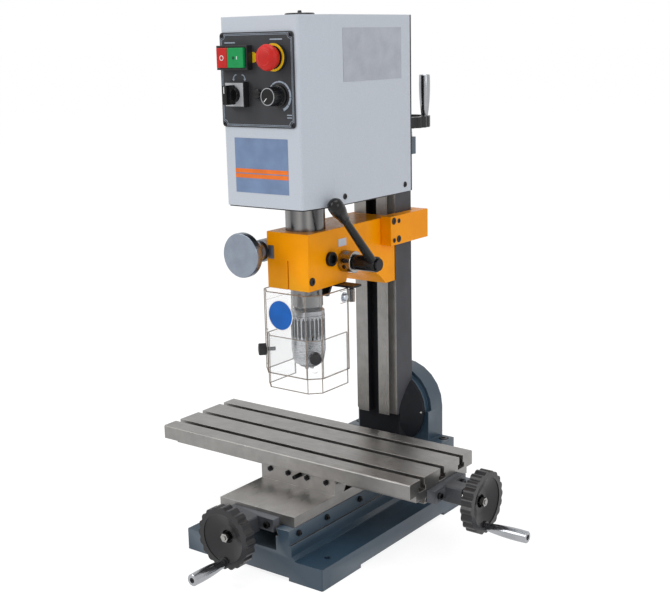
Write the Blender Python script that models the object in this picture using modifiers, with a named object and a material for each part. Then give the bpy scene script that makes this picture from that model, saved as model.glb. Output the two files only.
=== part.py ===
"""Bench drill milling machine, built as separate pieces on their real joint axes.

Metres, +Z up. X runs right along the table, Y runs back from the operator, and the origin
lies on the bench under the middle of the table. Run it with
blender --background --python part.py, or from Blender's text editor.
"""

import math

import bmesh
import bpy
from mathutils import Matrix, Vector

# Fits shared by all pieces
SEAT_GAP = 0.0003
SLIDE_GAP = 0.0004
OVERRUN = 0.002
EMBED = 0.003
SHARP_ANGLE = math.radians(30)
FACING_SHARE = 0.9
WELD = 0.000005

# Facet counts
ROUND_SIDES = 24
SMALL_SIDES = 12
CORNER_STEPS = 3
WHEEL_LOBES = 20
POINTS_PER_LOBE = 2

# Base casting
BASE_HALF_WIDTH = 0.1073
BASE_FRONT = -0.1574
BASE_REAR = 0.1900
BASE_CORNER_RADIUS = 0.0020
FOOT_HEIGHT = 0.0040
FOOT_INNER = 0.0570
FRONT_FOOT_LENGTH = 0.0778
REAR_FOOT_LENGTH = 0.0771
WING_TOP = 0.0270
BASE_BOLT_EDGE = 0.0165
BASE_BOLT_INSET = 0.0320
BASE_BOLT_RADIUS = 0.0042

# Base ways and the channel between them
WAY_TOP = 0.0638
WAY_HALF_WIDTH = 0.0593
WAY_LEDGE_Z = 0.0456
WAY_SKIRT_STEP = 0.0030
FLARE_Z = 0.0318
FLARE_FOOT_Z = 0.0284
FLARE_HALF_WIDTH = 0.0674
CHANNEL_HALF_WIDTH = 0.0400
UNDERCUT_DEPTH = 0.0098
UNDERCUT_WIDTH = 0.0040
CHANNEL_LOWER_HALF = 0.0390
CHANNEL_FLOOR = 0.0353
PLATFORM_FRONT = 0.1500
PLATFORM_HALF_WIDTH = 0.0800
PLATFORM_FOOT_Z = 0.0200
Y_GIB_THICKNESS = 0.0030
Y_GIB_FRONT = -0.1550
Y_GIB_REAR = 0.0600

# Saddle between the base ways and the table
SADDLE_HALF_WIDTH = 0.0589
SADDLE_FRONT = -0.1456
SADDLE_REAR = 0.0637
SADDLE_PLATE_TOP = 0.0770
SADDLE_WALL_FRONT = -0.0650
SADDLE_WALL_TOP = 0.0996
TONGUE_END_INSET = 0.0005
NUT_SLOT_HALF_WIDTH = 0.0130
NUT_SLOT_TOP = 0.0715

# Table dovetail, cut in the saddle and standing on the table
DOVETAIL_FLOOR_HALF = 0.0458
DOVETAIL_TOP_HALF = 0.0374
TABLE_WAY_TOP = 0.0916
DOVETAIL_FOOT_Z = 0.0845
TABLE_RIB_HALF_WIDTH = 0.0590
TABLE_RIB_FOOT_Z = 0.0920
TABLE_RIB_INSET = 0.0105
SCREW_GROOVE_HALF_WIDTH = 0.0100
SCREW_GROOVE_TOP = 0.0955
X_GIB_THICKNESS = 0.0022
X_GIB_HALF_LENGTH = 0.0580
X_GIB_TOP = 0.0992

# Table
TABLE_LENGTH = 0.4000
TABLE_RIGHT = 0.1741
TABLE_HALF_DEPTH = 0.0723
TABLE_TOP = 0.1185
TABLE_SLAB_FOOT = 0.1000
TABLE_CHAMFER = 0.0015
T_SLOT_COUNT = 3
T_SLOT_PITCH = 0.0450
T_THROAT_HALF = 0.00425
T_HEAD_HALF = 0.0075
T_HEAD_FOOT = 0.1027
T_HEAD_TOP = 0.1088

# Feed screws, brackets, dials and handwheels
SCREW_RADIUS = 0.0050
Y_AXIS_Z = 0.0587
X_AXIS_Z = 0.0868
Y_SCREW_TAIL = 0.1906
X_SCREW_TAIL = 0.3291
Z_SCREW_TAIL = 0.2280
FEED_PLATE_HALF_WIDTH = 0.0360
FEED_PLATE_THICKNESS = 0.0117
FEED_ARM_EDGE_RADIUS = 0.0029
FEED_PLATE_HEIGHT = 0.0155
FEED_ARM_HALF_WIDTH = 0.0125
FEED_ARM_HEIGHT = 0.0215
FEED_ARM_REACH = 0.0345
FEED_AXIS_DROP = 0.0140
DIAL_RADIUS = 0.0140
DIAL_THICKNESS = 0.0090
DIAL_CHAMFER = 0.0010
WHEEL_RADIUS = 0.0384
WHEEL_LOBE_DEPTH = 0.0014
WHEEL_THICKNESS = 0.0180
WHEEL_RIM_THICKNESS = 0.0145
WHEEL_RIM_INNER = 0.0300
WHEEL_WEB_INNER = 0.0270
WHEEL_DISH_DEPTH = 0.0090
WHEEL_HUB_RADIUS = 0.0120
WHEEL_BOSS_RADIUS = 0.0061
WHEEL_NUT_RADIUS = 0.0070
WHEEL_NUT_THICKNESS = 0.0040
WHEEL_NUT_POCKET = 0.0050
WHEEL_NUT_CLEARANCE = 0.0015
CRANK_RADIUS = 0.0310
HANDLE_LENGTH = 0.0540
HANDLE_FOOT_RADIUS = 0.0054
HANDLE_TOP_RADIUS = 0.0075
HANDLE_TIP_RADIUS = 0.0050
HANDLE_SPIGOT_RADIUS = 0.0030
HANDLE_SPIGOT_LENGTH = 0.0080
HANDLE_SWELL_SHARE = 0.75
HANDLE_SHOULDER_SHARE = 0.94

# Feed nuts
NUT_WALL_CLEARANCE = 0.0020
Y_NUT_FRONT = -0.0600
Y_NUT_LENGTH = 0.0200
Y_NUT_TOP = 0.0690
X_NUT_HALF_LENGTH = 0.0120
X_NUT_SIDE_CLEARANCE = 0.0015
X_NUT_TOP_CLEARANCE = 0.0010

# Tilt upright behind the base ways
UPRIGHT_FRONT = 0.1520
UPRIGHT_REAR = 0.1890
UPRIGHT_RADIUS = 0.0591
UPRIGHT_RIM_DEPTH = 0.0080
UPRIGHT_LEDGE_RADIUS = 0.0540
TILT_Z = 0.1260
FLANGE_HALF_WIDTH = 0.0795
FLANGE_FRONT = 0.1540
FLANGE_REAR = 0.1860
FLANGE_TOP = 0.0840
FLANGE_BOLT_X = 0.0700
FLANGE_BOLT_Y = 0.1740
FLANGE_BOLT_RADIUS = 0.0045
FLANGE_POCKET_RADIUS = 0.0072
FLANGE_POCKET_DEPTH = 0.0060

# Column
COLUMN_FRONT = 0.1063
COLUMN_SHOULDER = 0.1143
COLUMN_HALF_WIDTH = 0.0330
COLUMN_TOP = 0.5000
COLUMN_WAY_FOOT = 0.1280
COLUMN_WAY_HALF = 0.0254
COLUMN_NECK_HALF = 0.0208
COLUMN_GROOVE_HALF = 0.0082
COLUMN_GROOVE_DEPTH = 0.0100
COLUMN_FOOT_FRONT = 0.1180
COLUMN_FOOT_BOTTOM = 0.0830
DISC_RADIUS = 0.0538
DISC_RIM_FRONT = 0.1465
DISC_FACE_RADIUS = 0.0342
DISC_FRONT = 0.1190
TILT_BOLT_RADIUS = 0.0080
TILT_BOLT_FRONT = 0.1305
TILT_BOLT_STICK_OUT = 0.0180
TILT_NUT_FLATS = 0.0240
TILT_NUT_THICKNESS = 0.0130

# Height screw behind the column
Z_AXIS_Y = 0.1815
Z_BEARING_HALF_WIDTH = 0.0170
Z_BEARING_REAR = 0.1900
Z_BEARING_BOTTOM = 0.4750
Z_BEARING_TOP = 0.4980
Z_CRANK_X_SHARE = 0.8
Z_CRANK_Y_SHARE = 0.6
ARM_OUTER_X = 0.0483
ARM_FRONT = 0.0813
ARM_LEG_FRONT = 0.1550
ARM_LEG_REAR = 0.1700
ARM_LEG_END_X = -0.0200
ARM_BOTTOM = 0.3670
ARM_TOP = 0.4050
ARM_COLUMN_CLEARANCE = 0.0010
Z_NUT_HALF_WIDTH = 0.0140
Z_NUT_REAR = 0.1940
Z_NUT_BOTTOM = 0.3680
Z_NUT_TOP = 0.3920

# Head bracket
BRACKET_HALF_WIDTH = 0.0318
BRACKET_FRONT = -0.0712
BRACKET_TOP = 0.4025
BRACKET_BOTTOM = 0.3326
BRACKET_STEP_Y = 0.0050
BRACKET_STEP_Z = 0.3410
BRACKET_ARC_Y = 0.0350
BRACKET_ARC_Z = 0.2660
BRACKET_ARC_RADIUS = 0.0750
BRACKET_FOOT_Z = 0.3150
ARC_STEPS = 6
SPINDLE_Y = -0.0345
QUILL_RADIUS = 0.0245
SLIT_HALF_WIDTH = 0.0008
SLIT_TOP = 0.3680

# Feed lever, pinion and worm
PINION_Z = 0.3600
PINION_OUTER_RADIUS = 0.0119
PINION_TOOTH_DEPTH = 0.0016
PINION_TEETH = 12
PINION_HALF_LENGTH = 0.0140
SHAFT_RADIUS = 0.0080
SHAFT_END_RADIUS = 0.0060
SHAFT_HEAD_RADIUS = 0.0075
SHAFT_HEAD_THICKNESS = 0.0027
PINION_BORE_RADIUS = 0.0125
BUSH_RADIUS = 0.0136
BUSH_END = 0.0503
BUSH_SPIGOT_START = 0.0150
HUB_RADIUS = 0.0097
HUB_END = 0.0830
LEVER_X = 0.0780
LEVER_ANGLE = math.radians(46.6)
LEVER_ROOT = 0.0078
LEVER_RADIUS = 0.0046
LEVER_LENGTH = 0.1000
GRIP_START = 0.0860
GRIP_END = 0.1206
GRIP_FOOT_RADIUS = 0.0060
GRIP_RADIUS = 0.0095
GRIP_DEPTH = 0.0150
GRIP_STEPS = 4
WORM_X = -0.0420
WORM_CENTRE_DISTANCE = 0.0170
WORM_RADIUS = 0.0045
WORM_WHEEL_RADIUS = 0.0120
WORM_WHEEL_HALF_WIDTH = 0.0045
HOUSING_OUTER_X = -0.0530
HOUSING_FRONT = -0.0300
HOUSING_REAR = 0.0180
HOUSING_BOTTOM = 0.3450
HOUSING_TOP = 0.3920
HOUSING_BOSS_RADIUS = 0.0140
HOUSING_BOSS_FRONT = -0.0700
WORM_REAR = 0.0120
WORM_FRONT = -0.0280
FINE_SHAFT_RADIUS = 0.0040
KNOB_NECK_REAR = -0.0720
KNOB_NECK_FRONT = -0.0850
KNOB_NECK_RADIUS = 0.0132
KNOB_BODY_RADIUS = 0.0160
KNOB_CONE_FRONT = -0.1000
KNOB_RIM_RADIUS = 0.0273
KNOB_FACE = -0.1095

# Quill, spindle and chuck
SLEEVE_INSET = 0.0017
SLEEVE_BOTTOM = BRACKET_BOTTOM + SLEEVE_INSET
SLEEVE_INNER_RADIUS = 0.0160
SLEEVE_FLANGE_RADIUS = 0.0310
SLEEVE_FLANGE_THICKNESS = 0.0040
RACK_FACE = -0.0122
RACK_HALF_WIDTH = 0.0145
RACK_HEADROOM = 0.0015
RACK_TOP = BRACKET_TOP + RACK_HEADROOM
NOSE_RADIUS = 0.0195
NOSE_GAP = 0.0006
NOSE_LENGTH = 0.0274
NOSE_TOP = SLEEVE_BOTTOM - NOSE_GAP
NOSE_BOTTOM = NOSE_TOP - NOSE_LENGTH
SPINDLE_LAND_RADIUS = 0.0156
SPINDLE_LAND_LENGTH = 0.0160
SPINDLE_RADIUS = 0.0120
DRAWBAR_RADIUS = 0.0070
CHUCK_STUB_RADIUS = 0.0080
CHUCK_STUB_LENGTH = 0.0180
CHUCK_TOP_RADIUS = 0.0140
CHUCK_SHOULDER_HEIGHT = 0.0045
CHUCK_RING_HEIGHT = 0.0055
CHUCK_SLEEVE_REACH = 0.0620
CHUCK_NOSE_HEIGHT = 0.0050
CHUCK_TOP = NOSE_BOTTOM - SEAT_GAP
CHUCK_RING_TOP = CHUCK_TOP - CHUCK_SHOULDER_HEIGHT
CHUCK_RING_BOTTOM = CHUCK_RING_TOP - CHUCK_RING_HEIGHT
CHUCK_NOSE_Z = CHUCK_RING_BOTTOM - CHUCK_SLEEVE_REACH
CHUCK_BOTTOM = CHUCK_NOSE_Z - CHUCK_NOSE_HEIGHT
CHUCK_RADIUS = 0.0214
CHUCK_CORE_RADIUS = 0.0164
CHUCK_NOSE_RADIUS = 0.0115
CHUCK_BORE_RADIUS = 0.0050
CHUCK_BORE_DEPTH = 0.0330
CHUCK_CONE_HEIGHT = 0.0160
CHUCK_SLEEVE_END_RADIUS = 0.0182
JAW_COUNT = 3
JAW_RADIUS = 0.0026
JAW_LENGTH = 0.0300
JAW_TRAVEL = 0.0200
JAW_TILT = math.radians(11.0)
JAW_TIP_DROP = 0.0035
JAW_TIP_OFFSET = 0.0034
JAW_START = math.radians(20.0)

# Head plate, cover and drive
COVER_HALF_WIDTH = 0.0675
COVER_FRONT_HALF = 0.0570
COVER_FRONT = -0.1111
COVER_CHAMFER_Y = -0.0627
COVER_BACK = 0.0992
COVER_RISE = 0.0358
COVER_HEIGHT = 0.2177
COVER_BOTTOM = BRACKET_TOP + COVER_RISE
COVER_TOP = COVER_BOTTOM + COVER_HEIGHT
COVER_WALL = 0.0015
COVER_BEND_RADIUS = 0.0040
BACK_PLATE_THICKNESS = 0.0025
HEAD_PLATE_DROP = 0.0015
HEAD_PLATE_THICKNESS = 0.0052
HEAD_PLATE_BOTTOM = COVER_BOTTOM - HEAD_PLATE_DROP
HEAD_PLATE_TOP = HEAD_PLATE_BOTTOM + HEAD_PLATE_THICKNESS
DRAWBAR_HEADROOM = 0.0240
DRAWBAR_TOP = COVER_TOP - DRAWBAR_HEADROOM
CAP_RADIUS = 0.0178
CAP_THICKNESS = 0.0032
CAP_KNOB_RADIUS = 0.0026
CAP_KNOB_HEIGHT = 0.0030
CAP_SPIGOT_RADIUS = 0.0145
CAP_SPIGOT_LENGTH = 0.0030
PULLEY_RISE = 0.0070
PULLEY_HEIGHT = 0.0140
PULLEY_BOTTOM = HEAD_PLATE_TOP + PULLEY_RISE
PULLEY_TOP = PULLEY_BOTTOM + PULLEY_HEIGHT
PULLEY_FLANGE = 0.0025
SPINDLE_PULLEY_RADIUS = 0.0295
MOTOR_PULLEY_RADIUS = 0.0095
PULLEY_FLANGE_HEIGHT = 0.0050
BELT_THICKNESS = 0.0040
BELT_STEPS = 8
MOTOR_Y = 0.0500
MOTOR_RADIUS = 0.0360
MOTOR_PLATE_RISE = 0.0110
MOTOR_PLATE_THICKNESS = 0.0055
MOTOR_HEADROOM = 0.0560
MOTOR_PLATE_BOTTOM = PULLEY_TOP + MOTOR_PLATE_RISE
MOTOR_BOTTOM = MOTOR_PLATE_BOTTOM + MOTOR_PLATE_THICKNESS
MOTOR_TOP = COVER_TOP - MOTOR_HEADROOM
MOTOR_PLATE_HALF_WIDTH = 0.0450
MOTOR_PLATE_HALF_DEPTH = 0.0400
MOTOR_LEG_THICKNESS = 0.0060
MOTOR_SHAFT_RADIUS = 0.0050
MOTOR_SHAFT_END = 0.0030
MOTOR_SHAFT_LENGTH = 0.0350
MOTOR_BORE_END_GAP = 0.0020
MOTOR_SHAFT_BOTTOM = PULLEY_BOTTOM - MOTOR_SHAFT_END
MOTOR_SHAFT_TOP = PULLEY_TOP + MOTOR_SHAFT_LENGTH
MOTOR_BORE_TOP = MOTOR_SHAFT_TOP + MOTOR_BORE_END_GAP

# Control panel
PANEL_LEFT = -0.0575
PANEL_RIGHT = 0.0515
PANEL_BOTTOM = 0.5310
PANEL_TOP = 0.6385
PANEL_THICKNESS = 0.0015
PANEL_CORNER_RADIUS = 0.0040
SWITCH_LEFT = -0.0545
SWITCH_RIGHT = -0.0083
SWITCH_BOTTOM = 0.5965
SWITCH_TOP = 0.6240
SWITCH_DEPTH = 0.0096
SWITCH_POCKET_DEPTH = 0.0065
BUTTON_LEFT = -0.0520
BUTTON_RIGHT = -0.0114
BUTTON_SPLIT = -0.0358
BUTTON_BOTTOM = 0.5989
BUTTON_TOP = 0.6214
BUTTON_PROUD = 0.0033
BUTTON_TRAVEL = 0.0020
STOP_X = 0.0276
STOP_Z = 0.6101
STOP_BASE_RADIUS = 0.0155
STOP_BASE_DEPTH = 0.0062
STOP_RADIUS = 0.0147
STOP_BACK_RADIUS = 0.0125
STOP_LENGTH = 0.0140
STOP_STEM_RADIUS = 0.0085
STOP_STEM_LENGTH = 0.0055
STOP_TRAVEL = 0.0030
STOP_EDGE = 0.0020
SELECTOR_LEFT = -0.0440
SELECTOR_RIGHT = -0.0150
SELECTOR_BOTTOM = 0.5544
SELECTOR_TOP = 0.5830
SELECTOR_DEPTH = 0.0095
SELECTOR_DISC_RADIUS = 0.0085
SELECTOR_DISC_DEPTH = 0.0050
SELECTOR_BAR_HALF_WIDTH = 0.0032
SELECTOR_BAR_HALF_LENGTH = 0.0110
SELECTOR_BAR_DEPTH = 0.0175
FUSE_X = -0.0012
FUSE_Z = 0.5695
FUSE_RADIUS = 0.0060
FUSE_DEPTH = 0.0045
SPEED_X = 0.0293
SPEED_Z = 0.5673
SPEED_SKIRT_RADIUS = 0.0125
SPEED_SKIRT_DEPTH = 0.0040
SPEED_RADIUS = 0.0112
SPEED_DEPTH = 0.0213

# Chip guard
GUARD_FRONT = -0.0783
GUARD_FRONT_HALF = 0.0306
GUARD_SIDE = 0.0450
GUARD_REAR = -0.0100
GUARD_BOTTOM = 0.2250
GUARD_TOP = 0.3290
GUARD_WALL = 0.0020
GUARD_CORNER = math.radians(45)
SLOT_OVERRUN = 0.0005
INNER_GUARD_GAP = 0.0006
INNER_GUARD_WALL = 0.0015
INNER_GUARD_BOTTOM = 0.2060
INNER_GUARD_TOP = 0.2730
GUARD_STRIP_BOTTOM = 0.3140
GUARD_STRIP_FRONT = -0.0630
GUARD_STRIP_THICKNESS = 0.0015
SLOT_BOTTOM = 0.2330
SLOT_TOP = 0.2794
SLOT_HALF_WIDTH = 0.0029
THUMB_Z = 0.2530
THUMB_RADIUS = 0.0075
THUMB_LENGTH = 0.0110
THUMB_SHANK_RADIUS = 0.0025
THUMB_SHANK_LENGTH = 0.0110
HINGE_X = 0.0495
HINGE_Y = -0.0090
HINGE_PIN_RADIUS = 0.0022
HINGE_BARREL_RADIUS = 0.0042
HINGE_BARREL_BOTTOM = 0.3120
HINGE_BARREL_TOP = 0.3277
HINGE_LEAF_FRONT = -0.0280
HINGE_LEAF_THICKNESS = 0.0022
BRACKET_PLATE_THICKNESS = 0.0028
BRACKET_PLATE_LEFT = -0.0100
BRACKET_PLATE_RIGHT = 0.0550
BRACKET_PLATE_FRONT = -0.0140
BRACKET_PLATE_REAR = 0.0045
CROSSBAR_LEFT = -0.0400
CROSSBAR_RIGHT = 0.0190
CROSSBAR_FRONT = -0.0090
CROSSBAR_REAR = -0.0050
CROSSBAR_BOTTOM = 0.3140
CROSSBAR_END_SLANT = 0.0070

# Colour, roughness and metallic value of each finish
FINISHES = {
    "base_paint": ((0.050, 0.075, 0.110), 0.45, 0.0),
    "ground_steel": ((0.42, 0.41, 0.40), 0.35, 0.9),
    "bright_steel": ((0.62, 0.62, 0.62), 0.20, 1.0),
    "cast_orange": ((0.80, 0.28, 0.005), 0.30, 0.0),
    "dark_plastic": ((0.020, 0.020, 0.022), 0.45, 0.0),
    "black_oxide": ((0.015, 0.015, 0.016), 0.40, 0.6),
    "bronze": ((0.55, 0.36, 0.14), 0.40, 0.9),
    "cover_paint": ((0.50, 0.54, 0.59), 0.45, 0.0),
    "panel_black": ((0.045, 0.045, 0.050), 0.50, 0.0),
    "button_green": ((0.010, 0.280, 0.060), 0.40, 0.0),
    "button_red": ((0.550, 0.020, 0.010), 0.40, 0.0),
    "knob_alloy": ((0.33, 0.37, 0.42), 0.30, 0.9),
    "clear_plastic": ((0.85, 0.86, 0.88), 0.10, 0.0),
    "belt_rubber": ((0.012, 0.012, 0.012), 0.80, 0.0),
}

UP = Vector((0, 0, 1))
RIGHT = Vector((1, 0, 0))
BACK = Vector((0, 1, 0))

for old in list(bpy.data.objects):
    bpy.data.objects.remove(old, do_unlink=True)

parts = bpy.data.collections.new("drill_milling_machine")
cutters = bpy.data.collections.new("cutters")
for group in (parts, cutters):
    bpy.context.scene.collection.children.link(group)


def hold(thing, carrier, matrix):
    """Place a thing in the world and hang it on its carrier, which only ever shifts."""
    thing.parent = carrier
    if carrier is not None:
        thing.matrix_parent_inverse = Matrix.Translation(-Vector(carrier["axis_point"]))
    thing.matrix_basis = matrix


def make_carrier(name, axis_point, carrier=None):
    """An empty on a joint's axis, which the pieces of that moving body hang on."""
    empty = bpy.data.objects.new(name, None)
    empty["axis_point"] = list(axis_point)
    parts.objects.link(empty)
    hold(empty, carrier, Matrix.Translation(axis_point))
    return empty


def finish_of(name, finish):
    colour, roughness, metallic = FINISHES[finish]
    material = bpy.data.materials.new(name + "_" + finish)
    material.use_nodes = True
    shader = material.node_tree.nodes["Principled BSDF"]
    shader.inputs["Base Color"].default_value = (*colour, 1)
    shader.inputs["Roughness"].default_value = roughness
    shader.inputs["Metallic"].default_value = metallic
    return material


def put(name, mesh, carrier, group):
    """An object from a mesh in world places, with its origin on its carrier's axis."""
    thing = bpy.data.objects.new(name, mesh)
    mesh.name = name
    group.objects.link(thing)
    origin = Vector(carrier["axis_point"]) if carrier is not None else Vector()
    mesh.transform(Matrix.Translation(-origin))
    hold(thing, carrier, Matrix.Translation(origin))
    return thing


def piece(name, mesh, finish, carrier=None):
    thing = put(name, mesh, carrier, parts)
    thing.data.materials.append(finish_of(name, finish))
    thing.data.shade_smooth()
    thing.data.set_sharp_from_angle(angle=SHARP_ANGLE)
    return thing


def change(target, purpose, mesh, operation, solver="EXACT"):
    """A live Boolean on the target, worked by a hidden helper shape."""
    helper = put(target.name + "_" + purpose, mesh, target.parent, cutters)
    helper.hide_render = True
    helper.display_type = "WIRE"
    boolean = target.modifiers.new(purpose, "BOOLEAN")
    boolean.object = helper
    boolean.operation = operation
    boolean.solver = solver


def cut(target, purpose, mesh, solver="EXACT"):
    change(target, purpose, mesh, "DIFFERENCE", solver)


def join(target, purpose, mesh):
    change(target, purpose, mesh, "UNION")


def mesh_from(shape):
    mesh = bpy.data.meshes.new("shape")
    shape.to_mesh(mesh)
    shape.free()
    return mesh


def block(low, high):
    """A box between two corners."""
    low = Vector(low)
    high = Vector(high)
    shape = bmesh.new()
    bmesh.ops.create_cube(shape, size=1)
    size = Matrix.Diagonal((*(high - low), 1))
    bmesh.ops.transform(shape, matrix=Matrix.Translation((low + high) / 2) @ size, verts=shape.verts)
    return mesh_from(shape)


def frame_on(start, direction, across=None):
    """A frame at a start, its Z along a direction and its X towards another."""
    direction = Vector(direction).normalized()
    if across is None:
        turned = direction.to_track_quat("Z", "Y").to_matrix().to_4x4()
    else:
        across = Vector(across).normalized()
        turned = Matrix((across, direction.cross(across), direction)).transposed().to_4x4()
    return Matrix.Translation(start) @ turned


def rod(frame, low, high, radius, far_radius=None, sides=ROUND_SIDES):
    """A cylinder or cone along the frame's Z, from low to high."""
    shape = bmesh.new()
    far = radius if far_radius is None else far_radius
    bmesh.ops.create_cone(shape, cap_ends=True, segments=sides, radius1=radius, radius2=far,
                          depth=high - low)
    middle = Matrix.Translation((0, 0, (low + high) / 2))
    bmesh.ops.transform(shape, matrix=frame @ middle, verts=shape.verts)
    return mesh_from(shape)


def take_mesh(thing, frame):
    """The evaluated mesh of a helper object, welded and set in a frame, and the helper removed."""
    bpy.context.scene.collection.objects.link(thing)
    graph = bpy.context.evaluated_depsgraph_get()
    graph.update()
    mesh = bpy.data.meshes.new_from_object(thing.evaluated_get(graph))
    bpy.data.objects.remove(thing, do_unlink=True)
    shape = bmesh.new()
    shape.from_mesh(mesh)
    bmesh.ops.remove_doubles(shape, verts=shape.verts, dist=WELD)
    bmesh.ops.recalc_face_normals(shape, faces=shape.faces)
    bmesh.ops.transform(shape, matrix=frame, verts=shape.verts)
    shape.to_mesh(mesh)
    shape.free()
    mesh.materials.clear()
    return mesh


def plate(frame, loops, low, high):
    """Closed outlines in the frame's XY, the first the edge and the rest holes, from low to high."""
    curve = bpy.data.curves.new("outline", "CURVE")
    curve.dimensions = "2D"
    curve.fill_mode = "BOTH"
    curve.extrude = (high - low) / 2
    for loop in loops:
        spline = curve.splines.new("POLY")
        spline.points.add(len(loop) - 1)
        for point, (across, along) in zip(spline.points, loop):
            point.co = (across, along, 0, 1)
        spline.use_cyclic_u = True
    outline = bpy.data.objects.new("outline", curve)
    return take_mesh(outline, frame @ Matrix.Translation((0, 0, (low + high) / 2)))


def plate_x(loops, low, high):
    """Outlines given as (y, z), from one x to another."""
    return plate(frame_on(Vector(), RIGHT, BACK), loops, low, high)


def plate_y(loops, low, high):
    """Outlines given as (x, z), from one y to another."""
    return plate(frame_on(Vector(), -BACK, RIGHT), loops, -high, -low)


def plate_z(loops, low, high):
    """Outlines given as (x, y), from one z to another."""
    return plate(Matrix(), loops, low, high)


def turned(frame, profile, closed=False, sides=ROUND_SIDES):
    """A profile of (radius, height) spun round the frame's Z, outer side given top to bottom."""
    mesh = bpy.data.meshes.new("profile")
    count = len(profile)
    edges = [(n, n + 1) for n in range(count - 1)]
    if closed:
        edges.append((count - 1, 0))
    mesh.from_pydata([(radius, 0, height) for radius, height in profile], edges, [])
    spun = bpy.data.objects.new("profile", mesh)
    screw = spun.modifiers.new("turn", "SCREW")
    screw.steps = sides
    screw.render_steps = sides
    screw.use_merge_vertices = True
    screw.merge_threshold = WELD
    return take_mesh(spun, frame)


def ring(frame, low, high, outer, inner, sides=ROUND_SIDES):
    """A plain tube along the frame's Z."""
    profile = [(outer, high), (outer, low), (inner, low), (inner, high)]
    return turned(frame, profile, closed=True, sides=sides)


def circle(centre, radius, sides=ROUND_SIDES):
    turns = [2 * math.pi * n / sides for n in range(sides)]
    return [(centre[0] + radius * math.cos(a), centre[1] + radius * math.sin(a)) for a in turns]


def arc(centre, radius, start, end, steps):
    """Points on an arc between two angles in degrees."""
    points = []
    for n in range(steps + 1):
        angle = math.radians(start + (end - start) * n / steps)
        points.append((centre[0] + radius * math.cos(angle), centre[1] + radius * math.sin(angle)))
    return points


def rounded(points, radius, steps=CORNER_STEPS):
    """The outline with each corner replaced by a round one."""
    smooth = []
    for n, corner in enumerate(points):
        corner = Vector(corner)
        before = (Vector(points[n - 1]) - corner).normalized()
        after = (Vector(points[(n + 1) % len(points)]) - corner).normalized()
        half = before.angle(after) / 2
        reach = radius / math.tan(half)
        centre = corner + (before + after).normalized() * (radius / math.sin(half))
        first = corner + before * reach - centre
        last = corner + after * reach - centre
        for step in range(steps + 1):
            way_out = first.slerp(last, step / steps).normalized()
            smooth.append(tuple(centre + way_out * radius))
    return smooth


def box_outline(left, right, bottom, top):
    return [(left, bottom), (right, bottom), (right, top), (left, top)]


def mirrored(half):
    """A closed outline from its right half, listed bottom to top or the other way."""
    return list(half) + [(-across, along) for across, along in reversed(half)]


def lobed(radius, depth, lobes):
    """A round outline with a wave of shallow hollows."""
    count = lobes * POINTS_PER_LOBE
    points = []
    for n in range(count):
        angle = 2 * math.pi * n / count
        reach = radius - depth * (1 - math.cos(lobes * angle)) / 2
        points.append((reach * math.cos(angle), reach * math.sin(angle)))
    return points


def channel_half(z):
    """Half the width of the base channel at a height, above its undercut."""
    return CHANNEL_HALF_WIDTH + (WAY_TOP - z) * UNDERCUT_WIDTH / UNDERCUT_DEPTH


def dovetail_half(z):
    """Half the depth of the saddle's dovetail channel at a height."""
    rise = (z - SADDLE_PLATE_TOP) / (TABLE_WAY_TOP - SADDLE_PLATE_TOP)
    return DOVETAIL_FLOOR_HALF + (DOVETAIL_TOP_HALF - DOVETAIL_FLOOR_HALF) * rise


def column_way_half(y):
    """Half the width of the column's ways at a depth."""
    back = (y - COLUMN_FRONT) / (COLUMN_SHOULDER - COLUMN_FRONT)
    return COLUMN_WAY_HALF + (COLUMN_NECK_HALF - COLUMN_WAY_HALF) * back


UNDERCUT_Z = WAY_TOP - UNDERCUT_DEPTH
UPRIGHT_BOTTOM = WAY_TOP + SEAT_GAP
COLUMN_REAR = UPRIGHT_FRONT - SEAT_GAP
SADDLE_BOTTOM = WAY_TOP + SEAT_GAP
TABLE_LEFT = TABLE_RIGHT - TABLE_LENGTH
KNOB_Z = PINION_Z + WORM_CENTRE_DISTANCE


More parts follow.
